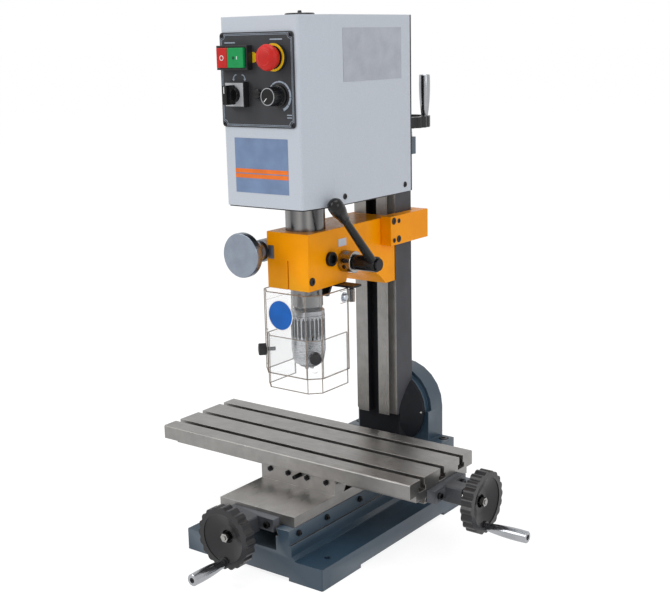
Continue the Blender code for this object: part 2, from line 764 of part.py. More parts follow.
def build_base():
    outline = rounded(box_outline(-BASE_HALF_WIDTH, BASE_HALF_WIDTH, BASE_FRONT, BASE_REAR),
                      BASE_CORNER_RADIUS)
    base = piece("base_casting", plate_z([outline], 0, WING_TOP), "base_paint")
    skirt = WAY_HALF_WIDTH + WAY_SKIRT_STEP
    half = [
        (FLARE_HALF_WIDTH, WING_TOP - EMBED),
        (FLARE_HALF_WIDTH, FLARE_FOOT_Z),
        (skirt, FLARE_Z),
        (skirt, WAY_LEDGE_Z),
        (WAY_HALF_WIDTH, WAY_LEDGE_Z),
        (WAY_HALF_WIDTH, WAY_TOP),
        (CHANNEL_HALF_WIDTH, WAY_TOP),
        (channel_half(UNDERCUT_Z), UNDERCUT_Z),
        (CHANNEL_LOWER_HALF, UNDERCUT_Z),
        (CHANNEL_LOWER_HALF, CHANNEL_FLOOR),
    ]
    join(base, "ways", plate_y([mirrored(half)], BASE_FRONT, BASE_REAR))
    join(base, "platform", block((-PLATFORM_HALF_WIDTH, PLATFORM_FRONT, PLATFORM_FOOT_Z),
                                 (PLATFORM_HALF_WIDTH, BASE_REAR, WAY_TOP)))
    cut(base, "arch_along", block((-FOOT_INNER, BASE_FRONT - OVERRUN, -OVERRUN),
                                  (FOOT_INNER, BASE_REAR + OVERRUN, FOOT_HEIGHT)))
    wide = BASE_HALF_WIDTH + OVERRUN
    cut(base, "arch_across", block((-wide, BASE_FRONT + FRONT_FOOT_LENGTH, -OVERRUN),
                                   (wide, BASE_REAR - REAR_FOOT_LENGTH, FOOT_HEIGHT)))
    for end, y in (("front", BASE_FRONT + BASE_BOLT_INSET), ("rear", BASE_REAR - BASE_BOLT_INSET)):
        across = BASE_HALF_WIDTH - BASE_BOLT_EDGE
        for side, x in (("left", -across), ("right", across)):
            cut(base, "bolt_hole_" + end + "_" + side,
                rod(frame_on((x, y, 0), UP), -OVERRUN, WAY_TOP + OVERRUN, BASE_BOLT_RADIUS,
                    sides=SMALL_SIDES))

    low = UNDERCUT_Z + SEAT_GAP
    high = WAY_TOP - SEAT_GAP
    gib = [
        (channel_half(low) - SLIDE_GAP, low),
        (channel_half(high) - SLIDE_GAP, high),
        (channel_half(high) - SLIDE_GAP - Y_GIB_THICKNESS, high),
        (channel_half(low) - SLIDE_GAP - Y_GIB_THICKNESS, low),
    ]
    piece("y_gib", plate_y([gib], Y_GIB_FRONT, Y_GIB_REAR), "ground_steel")

    half_width = NUT_SLOT_HALF_WIDTH - NUT_WALL_CLEARANCE
    nut = piece("y_feed_nut", block((-half_width, Y_NUT_FRONT, CHANNEL_FLOOR + SEAT_GAP),
                                    (half_width, Y_NUT_FRONT + Y_NUT_LENGTH, Y_NUT_TOP)), "bronze")
    cut(nut, "bore", rod(frame_on((0, Y_NUT_FRONT, Y_AXIS_Z), BACK), -OVERRUN,
                         Y_NUT_LENGTH + OVERRUN, SCREW_RADIUS + SLIDE_GAP))


def build_upright():
    rear = box_outline(-UPRIGHT_RADIUS, UPRIGHT_RADIUS, UPRIGHT_BOTTOM, TILT_Z)[:2]
    rear += arc((0, TILT_Z), UPRIGHT_RADIUS, 0, 180, ROUND_SIDES // 2)
    upright = piece("tilt_upright", plate_y([rear], UPRIGHT_FRONT + UPRIGHT_RIM_DEPTH, UPRIGHT_REAR),
                    "base_paint")
    front = box_outline(-UPRIGHT_RADIUS, UPRIGHT_RADIUS, UPRIGHT_BOTTOM, TILT_Z)[:3]
    front += arc((0, TILT_Z), UPRIGHT_LEDGE_RADIUS, 0, 180, ROUND_SIDES // 2)
    front.append((-UPRIGHT_RADIUS, TILT_Z))
    join(upright, "face", plate_y([front], UPRIGHT_FRONT, UPRIGHT_FRONT + UPRIGHT_RIM_DEPTH + EMBED))
    join(upright, "flange", block((-FLANGE_HALF_WIDTH, FLANGE_FRONT, UPRIGHT_BOTTOM),
                                  (FLANGE_HALF_WIDTH, FLANGE_REAR, FLANGE_TOP)))
    for side, x in (("left", -FLANGE_BOLT_X), ("right", FLANGE_BOLT_X)):
        frame = frame_on((x, FLANGE_BOLT_Y, FLANGE_TOP), UP)
        cut(upright, "bolt_hole_" + side,
            rod(frame, UPRIGHT_BOTTOM - FLANGE_TOP - OVERRUN, OVERRUN, FLANGE_BOLT_RADIUS,
                sides=SMALL_SIDES))
        cut(upright, "bolt_pocket_" + side,
            rod(frame, -FLANGE_POCKET_DEPTH, OVERRUN, FLANGE_POCKET_RADIUS, sides=SMALL_SIDES))
    cut(upright, "tilt_bore",
        rod(frame_on((0, UPRIGHT_FRONT, TILT_Z), BACK), -OVERRUN,
            UPRIGHT_REAR - UPRIGHT_FRONT + OVERRUN, TILT_BOLT_RADIUS + SLIDE_GAP))


def feed_bracket(name, carrier, frame):
    """Cast bracket of a feed screw. Frame: origin on the axis at the face it bolts to."""
    foot = FEED_AXIS_DROP - FEED_PLATE_HEIGHT
    bracket = piece(name, plate(frame, [box_outline(foot, FEED_AXIS_DROP, -FEED_PLATE_HALF_WIDTH,
                                                    FEED_PLATE_HALF_WIDTH)],
                                SEAT_GAP, SEAT_GAP + FEED_PLATE_THICKNESS), "base_paint", carrier)
    arm_foot = FEED_AXIS_DROP - FEED_ARM_HEIGHT
    arm = rounded(box_outline(arm_foot, FEED_AXIS_DROP, -FEED_ARM_HALF_WIDTH, FEED_ARM_HALF_WIDTH),
                  FEED_ARM_EDGE_RADIUS)
    join(bracket, "arm", plate(frame, [arm], SEAT_GAP + FEED_PLATE_THICKNESS - EMBED, FEED_ARM_REACH))
    cut(bracket, "bore", rod(frame, -OVERRUN, FEED_ARM_REACH + OVERRUN, SCREW_RADIUS + SLIDE_GAP))


def feed_set(letter, screw_carrier, handle_carrier, face, tail):
    """Screw, dial, handwheel and handle. Face: frame whose Z points to the operator's hand
    and whose X points at the handle."""
    dial_foot = SEAT_GAP
    dial_top = dial_foot + DIAL_THICKNESS
    wheel_foot = dial_top + SEAT_GAP
    wheel_top = wheel_foot + WHEEL_THICKNESS
    nut_foot = wheel_top - WHEEL_NUT_POCKET + SEAT_GAP
    nut_top = nut_foot + WHEEL_NUT_THICKNESS

    screw = [(0, nut_top), (WHEEL_NUT_RADIUS, nut_top), (WHEEL_NUT_RADIUS, nut_foot),
             (SCREW_RADIUS, nut_foot), (SCREW_RADIUS, -tail), (0, -tail)]
    piece(letter + "_feed_screw", turned(face, screw), "bright_steel", screw_carrier)

    edge = DIAL_RADIUS - DIAL_CHAMFER
    bore = SCREW_RADIUS + SEAT_GAP
    dial = [(edge, dial_top), (DIAL_RADIUS, dial_top - DIAL_CHAMFER),
            (DIAL_RADIUS, dial_foot + DIAL_CHAMFER), (edge, dial_foot),
            (bore, dial_foot), (bore, dial_top)]
    piece(letter + "_dial", turned(face, dial, closed=True), "bright_steel", screw_carrier)

    rim_foot = wheel_top - WHEEL_RIM_THICKNESS
    outline = lobed(WHEEL_RADIUS, WHEEL_LOBE_DEPTH, WHEEL_LOBES)
    wheel = piece(letter + "_handwheel", plate(face, [outline], rim_foot, wheel_top),
                  "dark_plastic", screw_carrier)
    dish_foot = wheel_top - WHEEL_DISH_DEPTH
    dish = [(WHEEL_RIM_INNER, wheel_top + OVERRUN), (WHEEL_RIM_INNER, wheel_top),
            (WHEEL_WEB_INNER, dish_foot), (WHEEL_HUB_RADIUS, dish_foot),
            (WHEEL_HUB_RADIUS, wheel_top + OVERRUN)]
    cut(wheel, "dish", turned(face, dish, closed=True))
    join(wheel, "hub", rod(face, wheel_foot, dish_foot - SEAT_GAP, WHEEL_HUB_RADIUS))
    boss_frame = face @ Matrix.Translation((CRANK_RADIUS, 0, 0))
    join(wheel, "boss", rod(boss_frame, rim_foot + SEAT_GAP, wheel_top - SEAT_GAP,
                            WHEEL_BOSS_RADIUS, sides=SMALL_SIDES))
    cut(wheel, "bore", rod(face, -OVERRUN, wheel_top + OVERRUN, bore))
    cut(wheel, "nut_pocket", rod(face, wheel_top - WHEEL_NUT_POCKET, wheel_top + OVERRUN,
                                 WHEEL_NUT_RADIUS + WHEEL_NUT_CLEARANCE))
    spigot_hole = wheel_top - HANDLE_SPIGOT_LENGTH - SEAT_GAP
    cut(wheel, "handle_hole", rod(boss_frame, spigot_hole, wheel_top + OVERRUN,
                                  HANDLE_SPIGOT_RADIUS + SEAT_GAP, sides=SMALL_SIDES),
        solver="MANIFOLD")

    foot = wheel_top + SEAT_GAP
    top = foot + HANDLE_LENGTH
    swell = foot + HANDLE_LENGTH * HANDLE_SWELL_SHARE
    shoulder = foot + HANDLE_LENGTH * HANDLE_SHOULDER_SHARE
    spigot_foot = wheel_top - HANDLE_SPIGOT_LENGTH
    handle = [(0, top), (HANDLE_TIP_RADIUS, top), (HANDLE_TOP_RADIUS, shoulder),
              (HANDLE_TOP_RADIUS, swell), (HANDLE_FOOT_RADIUS, foot),
              (HANDLE_SPIGOT_RADIUS, foot), (HANDLE_SPIGOT_RADIUS, spigot_foot), (0, spigot_foot)]
    piece(letter + "_handle", turned(boss_frame, handle, sides=SMALL_SIDES), "bright_steel",
          handle_carrier)


def crank_point(face):
    return face @ Vector((CRANK_RADIUS, 0, 0))


def build_saddle(carrier):
    side = [
        (SADDLE_FRONT, SADDLE_BOTTOM),
        (SADDLE_REAR, SADDLE_BOTTOM),
        (SADDLE_REAR, SADDLE_WALL_TOP),
        (TABLE_RIB_HALF_WIDTH + SLIDE_GAP, SADDLE_WALL_TOP),
        (TABLE_RIB_HALF_WIDTH + SLIDE_GAP, TABLE_WAY_TOP),
        (DOVETAIL_TOP_HALF, TABLE_WAY_TOP),
        (DOVETAIL_FLOOR_HALF, SADDLE_PLATE_TOP),
        (-DOVETAIL_FLOOR_HALF, SADDLE_PLATE_TOP),
        (-DOVETAIL_TOP_HALF, TABLE_WAY_TOP),
        (-TABLE_RIB_HALF_WIDTH - X_GIB_THICKNESS - 2 * SEAT_GAP, TABLE_WAY_TOP),
        (-TABLE_RIB_HALF_WIDTH - X_GIB_THICKNESS - 2 * SEAT_GAP, SADDLE_WALL_TOP),
        (SADDLE_WALL_FRONT, SADDLE_WALL_TOP),
        (SADDLE_WALL_FRONT, SADDLE_PLATE_TOP),
        (SADDLE_FRONT, SADDLE_PLATE_TOP),
    ]
    saddle = piece("saddle", plate_x([side], -SADDLE_HALF_WIDTH, SADDLE_HALF_WIDTH),
                   "ground_steel", carrier)
    low = UNDERCUT_Z + SLIDE_GAP
    high = SADDLE_BOTTOM + EMBED
    gib_room = Y_GIB_THICKNESS + 2 * SLIDE_GAP
    tongue = [
        (-channel_half(low) + SLIDE_GAP, low),
        (channel_half(low) - gib_room, low),
        (channel_half(high) - gib_room, high),
        (-channel_half(high) + SLIDE_GAP, high),
    ]
    join(saddle, "tongue", plate_y([tongue], SADDLE_FRONT + TONGUE_END_INSET,
                                   SADDLE_REAR - TONGUE_END_INSET))
    cut(saddle, "nut_slot", block((-NUT_SLOT_HALF_WIDTH, SADDLE_FRONT - OVERRUN, low - OVERRUN),
                                  (NUT_SLOT_HALF_WIDTH, SADDLE_REAR + OVERRUN, NUT_SLOT_TOP)))

    gib_back = -TABLE_RIB_HALF_WIDTH - SEAT_GAP
    piece("x_gib", block((-X_GIB_HALF_LENGTH, gib_back - X_GIB_THICKNESS, TABLE_WAY_TOP + SEAT_GAP),
                         (X_GIB_HALF_LENGTH, gib_back, X_GIB_TOP)), "ground_steel", carrier)

    half_depth = SCREW_GROOVE_HALF_WIDTH - X_NUT_SIDE_CLEARANCE
    nut = piece("x_feed_nut", block((-X_NUT_HALF_LENGTH, -half_depth, SADDLE_PLATE_TOP + SEAT_GAP),
                                    (X_NUT_HALF_LENGTH, half_depth,
                                     SCREW_GROOVE_TOP - X_NUT_TOP_CLEARANCE)), "bronze", carrier)
    cut(nut, "bore", rod(frame_on((0, 0, X_AXIS_Z), RIGHT), -X_NUT_HALF_LENGTH - OVERRUN,
                         X_NUT_HALF_LENGTH + OVERRUN, SCREW_RADIUS + SLIDE_GAP))


def build_table(carrier):
    shoulder = TABLE_TOP - TABLE_CHAMFER
    half = [
        (TABLE_HALF_DEPTH, TABLE_SLAB_FOOT),
        (TABLE_HALF_DEPTH, shoulder),
        (TABLE_HALF_DEPTH - TABLE_CHAMFER, TABLE_TOP),
    ]
    table = piece("table", plate_x([mirrored(half)], TABLE_LEFT, TABLE_RIGHT), "ground_steel",
                  carrier)
    for number in range(T_SLOT_COUNT):
        middle = (number - 1) * T_SLOT_PITCH
        slot = [
            (middle + T_THROAT_HALF, TABLE_TOP + OVERRUN),
            (middle + T_THROAT_HALF, T_HEAD_TOP),
            (middle + T_HEAD_HALF, T_HEAD_TOP),
            (middle + T_HEAD_HALF, T_HEAD_FOOT),
            (middle - T_HEAD_HALF, T_HEAD_FOOT),
            (middle - T_HEAD_HALF, T_HEAD_TOP),
            (middle - T_THROAT_HALF, T_HEAD_TOP),
            (middle - T_THROAT_HALF, TABLE_TOP + OVERRUN),
        ]
        cut(table, "slot_" + str(number + 1), plate_x([slot], TABLE_LEFT - OVERRUN,
                                                      TABLE_RIGHT + OVERRUN))
    neck = TABLE_RIB_FOOT_Z
    half = [
        (SCREW_GROOVE_HALF_WIDTH, SCREW_GROOVE_TOP),
        (SCREW_GROOVE_HALF_WIDTH, DOVETAIL_FOOT_Z),
        (dovetail_half(DOVETAIL_FOOT_Z) - SLIDE_GAP, DOVETAIL_FOOT_Z),
        (dovetail_half(neck) - SLIDE_GAP, neck),
        (TABLE_RIB_HALF_WIDTH, neck),
        (TABLE_RIB_HALF_WIDTH, TABLE_SLAB_FOOT + SEAT_GAP),
    ]
    join(table, "rib", plate_x([mirrored(half)], TABLE_LEFT + TABLE_RIB_INSET, TABLE_RIGHT))


def build_column(carrier):
    groove_back = COLUMN_FRONT + COLUMN_GROOVE_DEPTH
    half = [
        (COLUMN_GROOVE_HALF, groove_back),
        (COLUMN_GROOVE_HALF, COLUMN_FRONT),
        (COLUMN_WAY_HALF, COLUMN_FRONT),
        (COLUMN_NECK_HALF, COLUMN_SHOULDER),
        (COLUMN_HALF_WIDTH, COLUMN_SHOULDER),
        (COLUMN_HALF_WIDTH, COLUMN_REAR),
    ]
    column = piece("column", plate_z([mirrored(half)], COLUMN_WAY_FOOT, COLUMN_TOP),
                   "ground_steel", carrier)
    foot_half = COLUMN_HALF_WIDTH - SEAT_GAP
    join(column, "foot", block((-foot_half, COLUMN_FOOT_FRONT, COLUMN_FOOT_BOTTOM),
                               (foot_half, COLUMN_REAR, COLUMN_WAY_FOOT + EMBED)))
    axis = frame_on((0, 0, TILT_Z), BACK)
    disc = [
        (0, COLUMN_REAR),
        (DISC_RADIUS, COLUMN_REAR),
        (DISC_RADIUS, DISC_RIM_FRONT),
        (DISC_FACE_RADIUS, DISC_FRONT),
        (0, DISC_FRONT),
    ]
    join(column, "disc", turned(axis, disc))
    cut(column, "bolt_hole", rod(axis, TILT_BOLT_FRONT - SEAT_GAP, COLUMN_REAR + OVERRUN,
                                 TILT_BOLT_RADIUS + SEAT_GAP, sides=SMALL_SIDES))

    nut_front = UPRIGHT_REAR + SEAT_GAP
    nut_rear = nut_front + TILT_NUT_THICKNESS
    piece("tilt_bolt", rod(axis, TILT_BOLT_FRONT, UPRIGHT_REAR + TILT_BOLT_STICK_OUT,
                           TILT_BOLT_RADIUS, sides=SMALL_SIDES), "black_oxide", carrier)
    corner = TILT_NUT_FLATS / math.sqrt(3)
    hexagon = circle((0, TILT_Z), corner, 6)
    hole = circle((0, TILT_Z), TILT_BOLT_RADIUS + SEAT_GAP, SMALL_SIDES)
    piece("tilt_nut", plate_y([hexagon, hole], nut_front, nut_rear), "black_oxide", carrier)

    bearing = piece("z_bearing", block((-Z_BEARING_HALF_WIDTH, COLUMN_REAR + SEAT_GAP,
                                        Z_BEARING_BOTTOM),
                                       (Z_BEARING_HALF_WIDTH, Z_BEARING_REAR, Z_BEARING_TOP)),
                    "base_paint", carrier)
    cut(bearing, "bore", rod(frame_on((0, Z_AXIS_Y, 0), UP), Z_BEARING_BOTTOM - OVERRUN,
                             Z_BEARING_TOP + OVERRUN, SCREW_RADIUS + SLIDE_GAP))


def build_head(carrier):
    foot_angle = math.degrees(math.asin((BRACKET_FOOT_Z - BRACKET_ARC_Z) / BRACKET_ARC_RADIUS))
    side = [(BRACKET_FRONT, BRACKET_TOP), (BRACKET_FRONT, BRACKET_BOTTOM),
            (BRACKET_STEP_Y, BRACKET_BOTTOM), (BRACKET_STEP_Y + EMBED, BRACKET_STEP_Z)]
    side += arc((BRACKET_ARC_Y, BRACKET_ARC_Z), BRACKET_ARC_RADIUS, 90, foot_angle, ARC_STEPS)
    back = COLUMN_SHOULDER - SLIDE_GAP
    side += [(back, BRACKET_FOOT_Z), (back, BRACKET_TOP)]
    bracket = piece("head_bracket", plate_x([side], -BRACKET_HALF_WIDTH, BRACKET_HALF_WIDTH),
                    "cast_orange", carrier)
    upright = frame_on((0, SPINDLE_Y, 0), UP)
    cut(bracket, "quill_bore", rod(upright, BRACKET_BOTTOM - OVERRUN, BRACKET_TOP + OVERRUN,
                                   QUILL_RADIUS + SLIDE_GAP))
    cut(bracket, "clamp_slit", block((-SLIT_HALF_WIDTH, BRACKET_FRONT - OVERRUN,
                                      BRACKET_BOTTOM - OVERRUN),
                                     (SLIT_HALF_WIDTH, SPINDLE_Y, SLIT_TOP)))
    way_front = COLUMN_FRONT - SLIDE_GAP
    way_back = back + OVERRUN
    way = mirrored([(column_way_half(way_front) + SLIDE_GAP, way_front),
                    (column_way_half(way_back) + SLIDE_GAP, way_back)])
    cut(bracket, "column_way", plate_z([way], BRACKET_FOOT_Z - OVERRUN, BRACKET_TOP + OVERRUN))
    across = frame_on((0, 0, PINION_Z), RIGHT)
    cut(bracket, "shaft_bore", rod(across, -BRACKET_HALF_WIDTH - OVERRUN, 0,
                                   SHAFT_RADIUS + SLIDE_GAP, sides=SMALL_SIDES))
    cut(bracket, "pinion_bore", rod(across, -PINION_HALF_LENGTH - SLIDE_GAP,
                                    BRACKET_HALF_WIDTH + OVERRUN, PINION_BORE_RADIUS))

    inner = BRACKET_HALF_WIDTH + SEAT_GAP
    beside = COLUMN_HALF_WIDTH + ARM_COLUMN_CLEARANCE
    arm = [
        (inner, ARM_FRONT),
        (ARM_OUTER_X, ARM_FRONT),
        (ARM_OUTER_X, ARM_LEG_REAR),
        (ARM_LEG_END_X, ARM_LEG_REAR),
        (ARM_LEG_END_X, ARM_LEG_FRONT),
        (beside, ARM_LEG_FRONT),
        (beside, back),
        (inner, back),
    ]
    piece("z_nut_arm", plate_z([arm], ARM_BOTTOM, ARM_TOP), "cast_orange", carrier)

    nut = piece("z_feed_nut", block((-Z_NUT_HALF_WIDTH, ARM_LEG_REAR + SEAT_GAP, Z_NUT_BOTTOM),
                                    (Z_NUT_HALF_WIDTH, Z_NUT_REAR, Z_NUT_TOP)), "bronze", carrier)
    cut(nut, "bore", rod(frame_on((0, Z_AXIS_Y, 0), UP), Z_NUT_BOTTOM - OVERRUN,
                         Z_NUT_TOP + OVERRUN, SCREW_RADIUS + SLIDE_GAP))

    housing = piece("worm_housing", block((HOUSING_OUTER_X, HOUSING_FRONT, HOUSING_BOTTOM),
                                          (-inner, HOUSING_REAR, HOUSING_TOP)),
                    "cover_paint", carrier)
    cut(housing, "wheel_room", rod(across, WORM_X - WORM_WHEEL_HALF_WIDTH - OVERRUN,
                                   -inner + OVERRUN, WORM_WHEEL_RADIUS + SLIDE_GAP))
    worm_axis = frame_on((WORM_X, 0, KNOB_Z), BACK)
    boss = circle((WORM_X, KNOB_Z), HOUSING_BOSS_RADIUS, 2 * SMALL_SIDES)
    boss = [(min(x, -inner - SEAT_GAP), z) for x, z in boss]
    join(housing, "boss", plate_y([boss], HOUSING_BOSS_FRONT, HOUSING_FRONT + EMBED))
    cut(housing, "worm_bore", rod(worm_axis, HOUSING_BOSS_FRONT - OVERRUN, WORM_REAR + SEAT_GAP,
                                  WORM_RADIUS + SLIDE_GAP, sides=SMALL_SIDES))

    bush_bore = SHAFT_RADIUS + SLIDE_GAP
    spigot = PINION_BORE_RADIUS - SEAT_GAP
    bush = [(BUSH_RADIUS, BUSH_END), (BUSH_RADIUS, inner), (spigot, inner),
            (spigot, BUSH_SPIGOT_START), (bush_bore, BUSH_SPIGOT_START), (bush_bore, BUSH_END)]
    piece("pinion_bush", turned(across, bush, closed=True), "bright_steel", carrier)


def build_lever(carrier):
    across = frame_on((0, 0, PINION_Z), RIGHT)
    wheel_left = WORM_X - WORM_WHEEL_HALF_WIDTH
    wheel_right = WORM_X + WORM_WHEEL_HALF_WIDTH
    hub_start = BUSH_END + SEAT_GAP
    head_start = HUB_END + SEAT_GAP
    shaft = [
        (0, head_start + SHAFT_HEAD_THICKNESS),
        (SHAFT_HEAD_RADIUS, head_start + SHAFT_HEAD_THICKNESS),
        (SHAFT_HEAD_RADIUS, head_start),
        (SHAFT_END_RADIUS, head_start),
        (SHAFT_END_RADIUS, BUSH_END),
        (SHAFT_RADIUS, BUSH_END),
        (SHAFT_RADIUS, wheel_right),
        (WORM_WHEEL_RADIUS, wheel_right),
        (WORM_WHEEL_RADIUS, wheel_left),
        (0, wheel_left),
    ]
    pinion_shaft = piece("pinion_shaft", turned(across, shaft), "ground_steel", carrier)
    teeth = lobed(PINION_OUTER_RADIUS, PINION_TOOTH_DEPTH, PINION_TEETH)
    join(pinion_shaft, "pinion", plate(across, [teeth], -PINION_HALF_LENGTH, PINION_HALF_LENGTH))

    lever = piece("feed_lever", ring(across, hub_start, HUB_END, HUB_RADIUS,
                                     SHAFT_END_RADIUS + SEAT_GAP), "dark_plastic", carrier)
    out = -BACK * math.cos(LEVER_ANGLE) + UP * math.sin(LEVER_ANGLE)
    arm = frame_on((LEVER_X, 0, PINION_Z), out, RIGHT)
    join(lever, "arm", rod(arm, LEVER_ROOT, LEVER_LENGTH, LEVER_RADIUS, sides=SMALL_SIDES))

    room = LEVER_RADIUS + SEAT_GAP
    dome_start = GRIP_END - GRIP_RADIUS / 2
    grip = [(0, GRIP_END)]
    for n in range(1, GRIP_STEPS + 1):
        angle = math.pi / 2 * n / GRIP_STEPS
        grip.append((GRIP_RADIUS * math.sin(angle),
                     dome_start + (GRIP_END - dome_start) * math.cos(angle)))
    for n in range(1, GRIP_STEPS + 1):
        swell = (1 + math.cos(math.pi * n / GRIP_STEPS)) / 2
        grip.append((GRIP_FOOT_RADIUS + (GRIP_RADIUS - GRIP_FOOT_RADIUS) * swell,
                     dome_start + (GRIP_START - dome_start) * n / GRIP_STEPS))
    grip += [(room, GRIP_START), (room, GRIP_START + GRIP_DEPTH), (0, GRIP_START + GRIP_DEPTH)]
    piece("lever_grip", turned(arm, grip, sides=SMALL_SIDES), "dark_plastic", carrier)


def build_fine_feed(carrier):
    axis = frame_on((WORM_X, 0, KNOB_Z), -BACK)
    knob = [
        (0, -KNOB_FACE),
        (KNOB_RIM_RADIUS - DIAL_CHAMFER, -KNOB_FACE),
        (KNOB_RIM_RADIUS, -KNOB_FACE - DIAL_CHAMFER),
        (KNOB_RIM_RADIUS, -KNOB_CONE_FRONT),
        (KNOB_BODY_RADIUS, -KNOB_NECK_FRONT),
        (KNOB_NECK_RADIUS, -KNOB_NECK_FRONT),
        (KNOB_NECK_RADIUS, -KNOB_NECK_REAR),
        (FINE_SHAFT_RADIUS, -KNOB_NECK_REAR),
        (FINE_SHAFT_RADIUS, -WORM_FRONT),
        (WORM_RADIUS, -WORM_FRONT),
        (WORM_RADIUS, -WORM_REAR),
        (0, -WORM_REAR),
    ]
    piece("fine_feed_knob", turned(axis, knob), "knob_alloy", carrier)


def cover_outline(inset):
    """The head cover's outline in plan, moved in by an inset, open side at the back."""
    slope = (COVER_HALF_WIDTH - COVER_FRONT_HALF) / (COVER_CHAMFER_Y - COVER_FRONT)
    side = COVER_HALF_WIDTH - inset
    front = COVER_FRONT + inset
    front_half = COVER_FRONT_HALF - inset * (math.sqrt(1 + slope * slope) - slope)
    return [(side, COVER_BACK), (-side, COVER_BACK), (-side, COVER_CHAMFER_Y),
            (-front_half, front), (front_half, front), (side, COVER_CHAMFER_Y)]


def build_drive_head(carrier):
    axis = frame_on((0, SPINDLE_Y, 0), UP)
    flange_foot = HEAD_PLATE_TOP + SEAT_GAP
    flange_top = flange_foot + SLEEVE_FLANGE_THICKNESS
    sleeve = [
        (SLEEVE_FLANGE_RADIUS, flange_top),
        (SLEEVE_FLANGE_RADIUS, flange_foot),
        (QUILL_RADIUS, flange_foot),
        (QUILL_RADIUS, SLEEVE_BOTTOM),
        (SLEEVE_INNER_RADIUS, SLEEVE_BOTTOM),
        (SLEEVE_INNER_RADIUS, flange_top),
    ]
    quill = piece("quill_sleeve", turned(axis, sleeve, closed=True), "bright_steel", carrier)
    cut(quill, "rack_face", block((-RACK_HALF_WIDTH, RACK_FACE, SLEEVE_BOTTOM - OVERRUN),
                                  (RACK_HALF_WIDTH, SPINDLE_Y + QUILL_RADIUS + OVERRUN, RACK_TOP)))

    inset = COVER_WALL + SEAT_GAP
    floor = rounded(cover_outline(inset), COVER_BEND_RADIUS - inset)
    hole = circle((0, SPINDLE_Y), QUILL_RADIUS + SEAT_GAP)
    piece("head_plate", plate_z([floor, hole], HEAD_PLATE_BOTTOM, HEAD_PLATE_TOP), "black_oxide",
          carrier)

    corners = rounded(cover_outline(0), COVER_BEND_RADIUS)
    first_bend = CORNER_STEPS + 1
    corners = [(COVER_HALF_WIDTH, COVER_BACK), (-COVER_HALF_WIDTH, COVER_BACK)] + \
        corners[2 * first_bend:]
    cover = piece("head_cover", plate_z([corners], COVER_BOTTOM, COVER_TOP), "cover_paint", carrier)
    shape = bmesh.new()
    shape.from_mesh(cover.data)
    open_faces = [face for face in shape.faces
                  if face.normal.z < -FACING_SHARE or face.normal.y > FACING_SHARE]
    bmesh.ops.delete(shape, geom=open_faces, context="FACES")
    shape.to_mesh(cover.data)
    shape.free()
    wall = cover.modifiers.new("sheet", "SOLIDIFY")
    wall.thickness = COVER_WALL
    wall.offset = -1
    wall.use_even_offset = True
    cut(cover, "cap_hole", rod(axis, COVER_TOP - COVER_WALL - OVERRUN, COVER_TOP + OVERRUN,
                               CAP_SPIGOT_RADIUS + SEAT_GAP))

    back = COVER_BACK + SEAT_GAP
    piece("cover_back", block((-COVER_HALF_WIDTH, back, COVER_BOTTOM),
                              (COVER_HALF_WIDTH, back + BACK_PLATE_THICKNESS, COVER_TOP)),
          "black_oxide", carrier)

    seat = COVER_TOP + SEAT_GAP
    lid = seat + CAP_THICKNESS
    cap = [
        (0, lid + CAP_KNOB_HEIGHT),
        (CAP_KNOB_RADIUS, lid + CAP_KNOB_HEIGHT),
        (CAP_KNOB_RADIUS, lid),
        (CAP_RADIUS, lid),
        (CAP_RADIUS, seat),
        (CAP_SPIGOT_RADIUS, seat),
        (CAP_SPIGOT_RADIUS, seat - CAP_SPIGOT_LENGTH),
        (0, seat - CAP_SPIGOT_LENGTH),
    ]
    piece("access_cap", turned(axis, cap), "dark_plastic", carrier)

    motor_axis = frame_on((0, MOTOR_Y, 0), UP)
    motor = piece("motor", rod(motor_axis, MOTOR_BOTTOM - EMBED, MOTOR_TOP, MOTOR_RADIUS),
                  "dark_plastic", carrier)
    plate_low = (-MOTOR_PLATE_HALF_WIDTH, MOTOR_Y - MOTOR_PLATE_HALF_DEPTH, MOTOR_PLATE_BOTTOM)
    plate_high = (MOTOR_PLATE_HALF_WIDTH, MOTOR_Y + MOTOR_PLATE_HALF_DEPTH, MOTOR_BOTTOM)
    join(motor, "plate", block(plate_low, plate_high))
    leg_top = MOTOR_PLATE_BOTTOM + EMBED
    for side, sign in (("left", -1), ("right", 1)):
        outer = sign * (MOTOR_PLATE_HALF_WIDTH - SEAT_GAP)
        inner = outer - sign * MOTOR_LEG_THICKNESS
        depth = MOTOR_PLATE_HALF_DEPTH - SEAT_GAP
        join(motor, "leg_" + side, block((min(outer, inner), MOTOR_Y - depth, flange_foot),
                                         (max(outer, inner), MOTOR_Y + depth, leg_top)))
    cut(motor, "shaft_bore", rod(motor_axis, MOTOR_PLATE_BOTTOM - OVERRUN, MOTOR_BORE_TOP,
                                 MOTOR_SHAFT_RADIUS + SLIDE_GAP, sides=SMALL_SIDES))

    inner_spindle = SPINDLE_PULLEY_RADIUS + SEAT_GAP
    inner_motor = MOTOR_PULLEY_RADIUS + SEAT_GAP
    outer_loop = belt_loop(inner_spindle + BELT_THICKNESS, inner_motor + BELT_THICKNESS)
    inner_loop = belt_loop(inner_spindle, inner_motor)
    piece("drive_belt", plate_z([outer_loop, inner_loop],
                                PULLEY_BOTTOM + PULLEY_FLANGE + SLIDE_GAP,
                                PULLEY_TOP - PULLEY_FLANGE - SLIDE_GAP), "belt_rubber", carrier)


def belt_loop(spindle_radius, motor_radius):
    """A taut loop round the spindle pulley and the motor pulley."""
    span = MOTOR_Y - SPINDLE_Y
    lean = math.degrees(math.asin((spindle_radius - motor_radius) / span))
    loop = arc((0, MOTOR_Y), motor_radius, lean, 180 - lean, BELT_STEPS)
    loop += arc((0, SPINDLE_Y), spindle_radius, 180 - lean, 360 + lean, 2 * BELT_STEPS)
    return loop


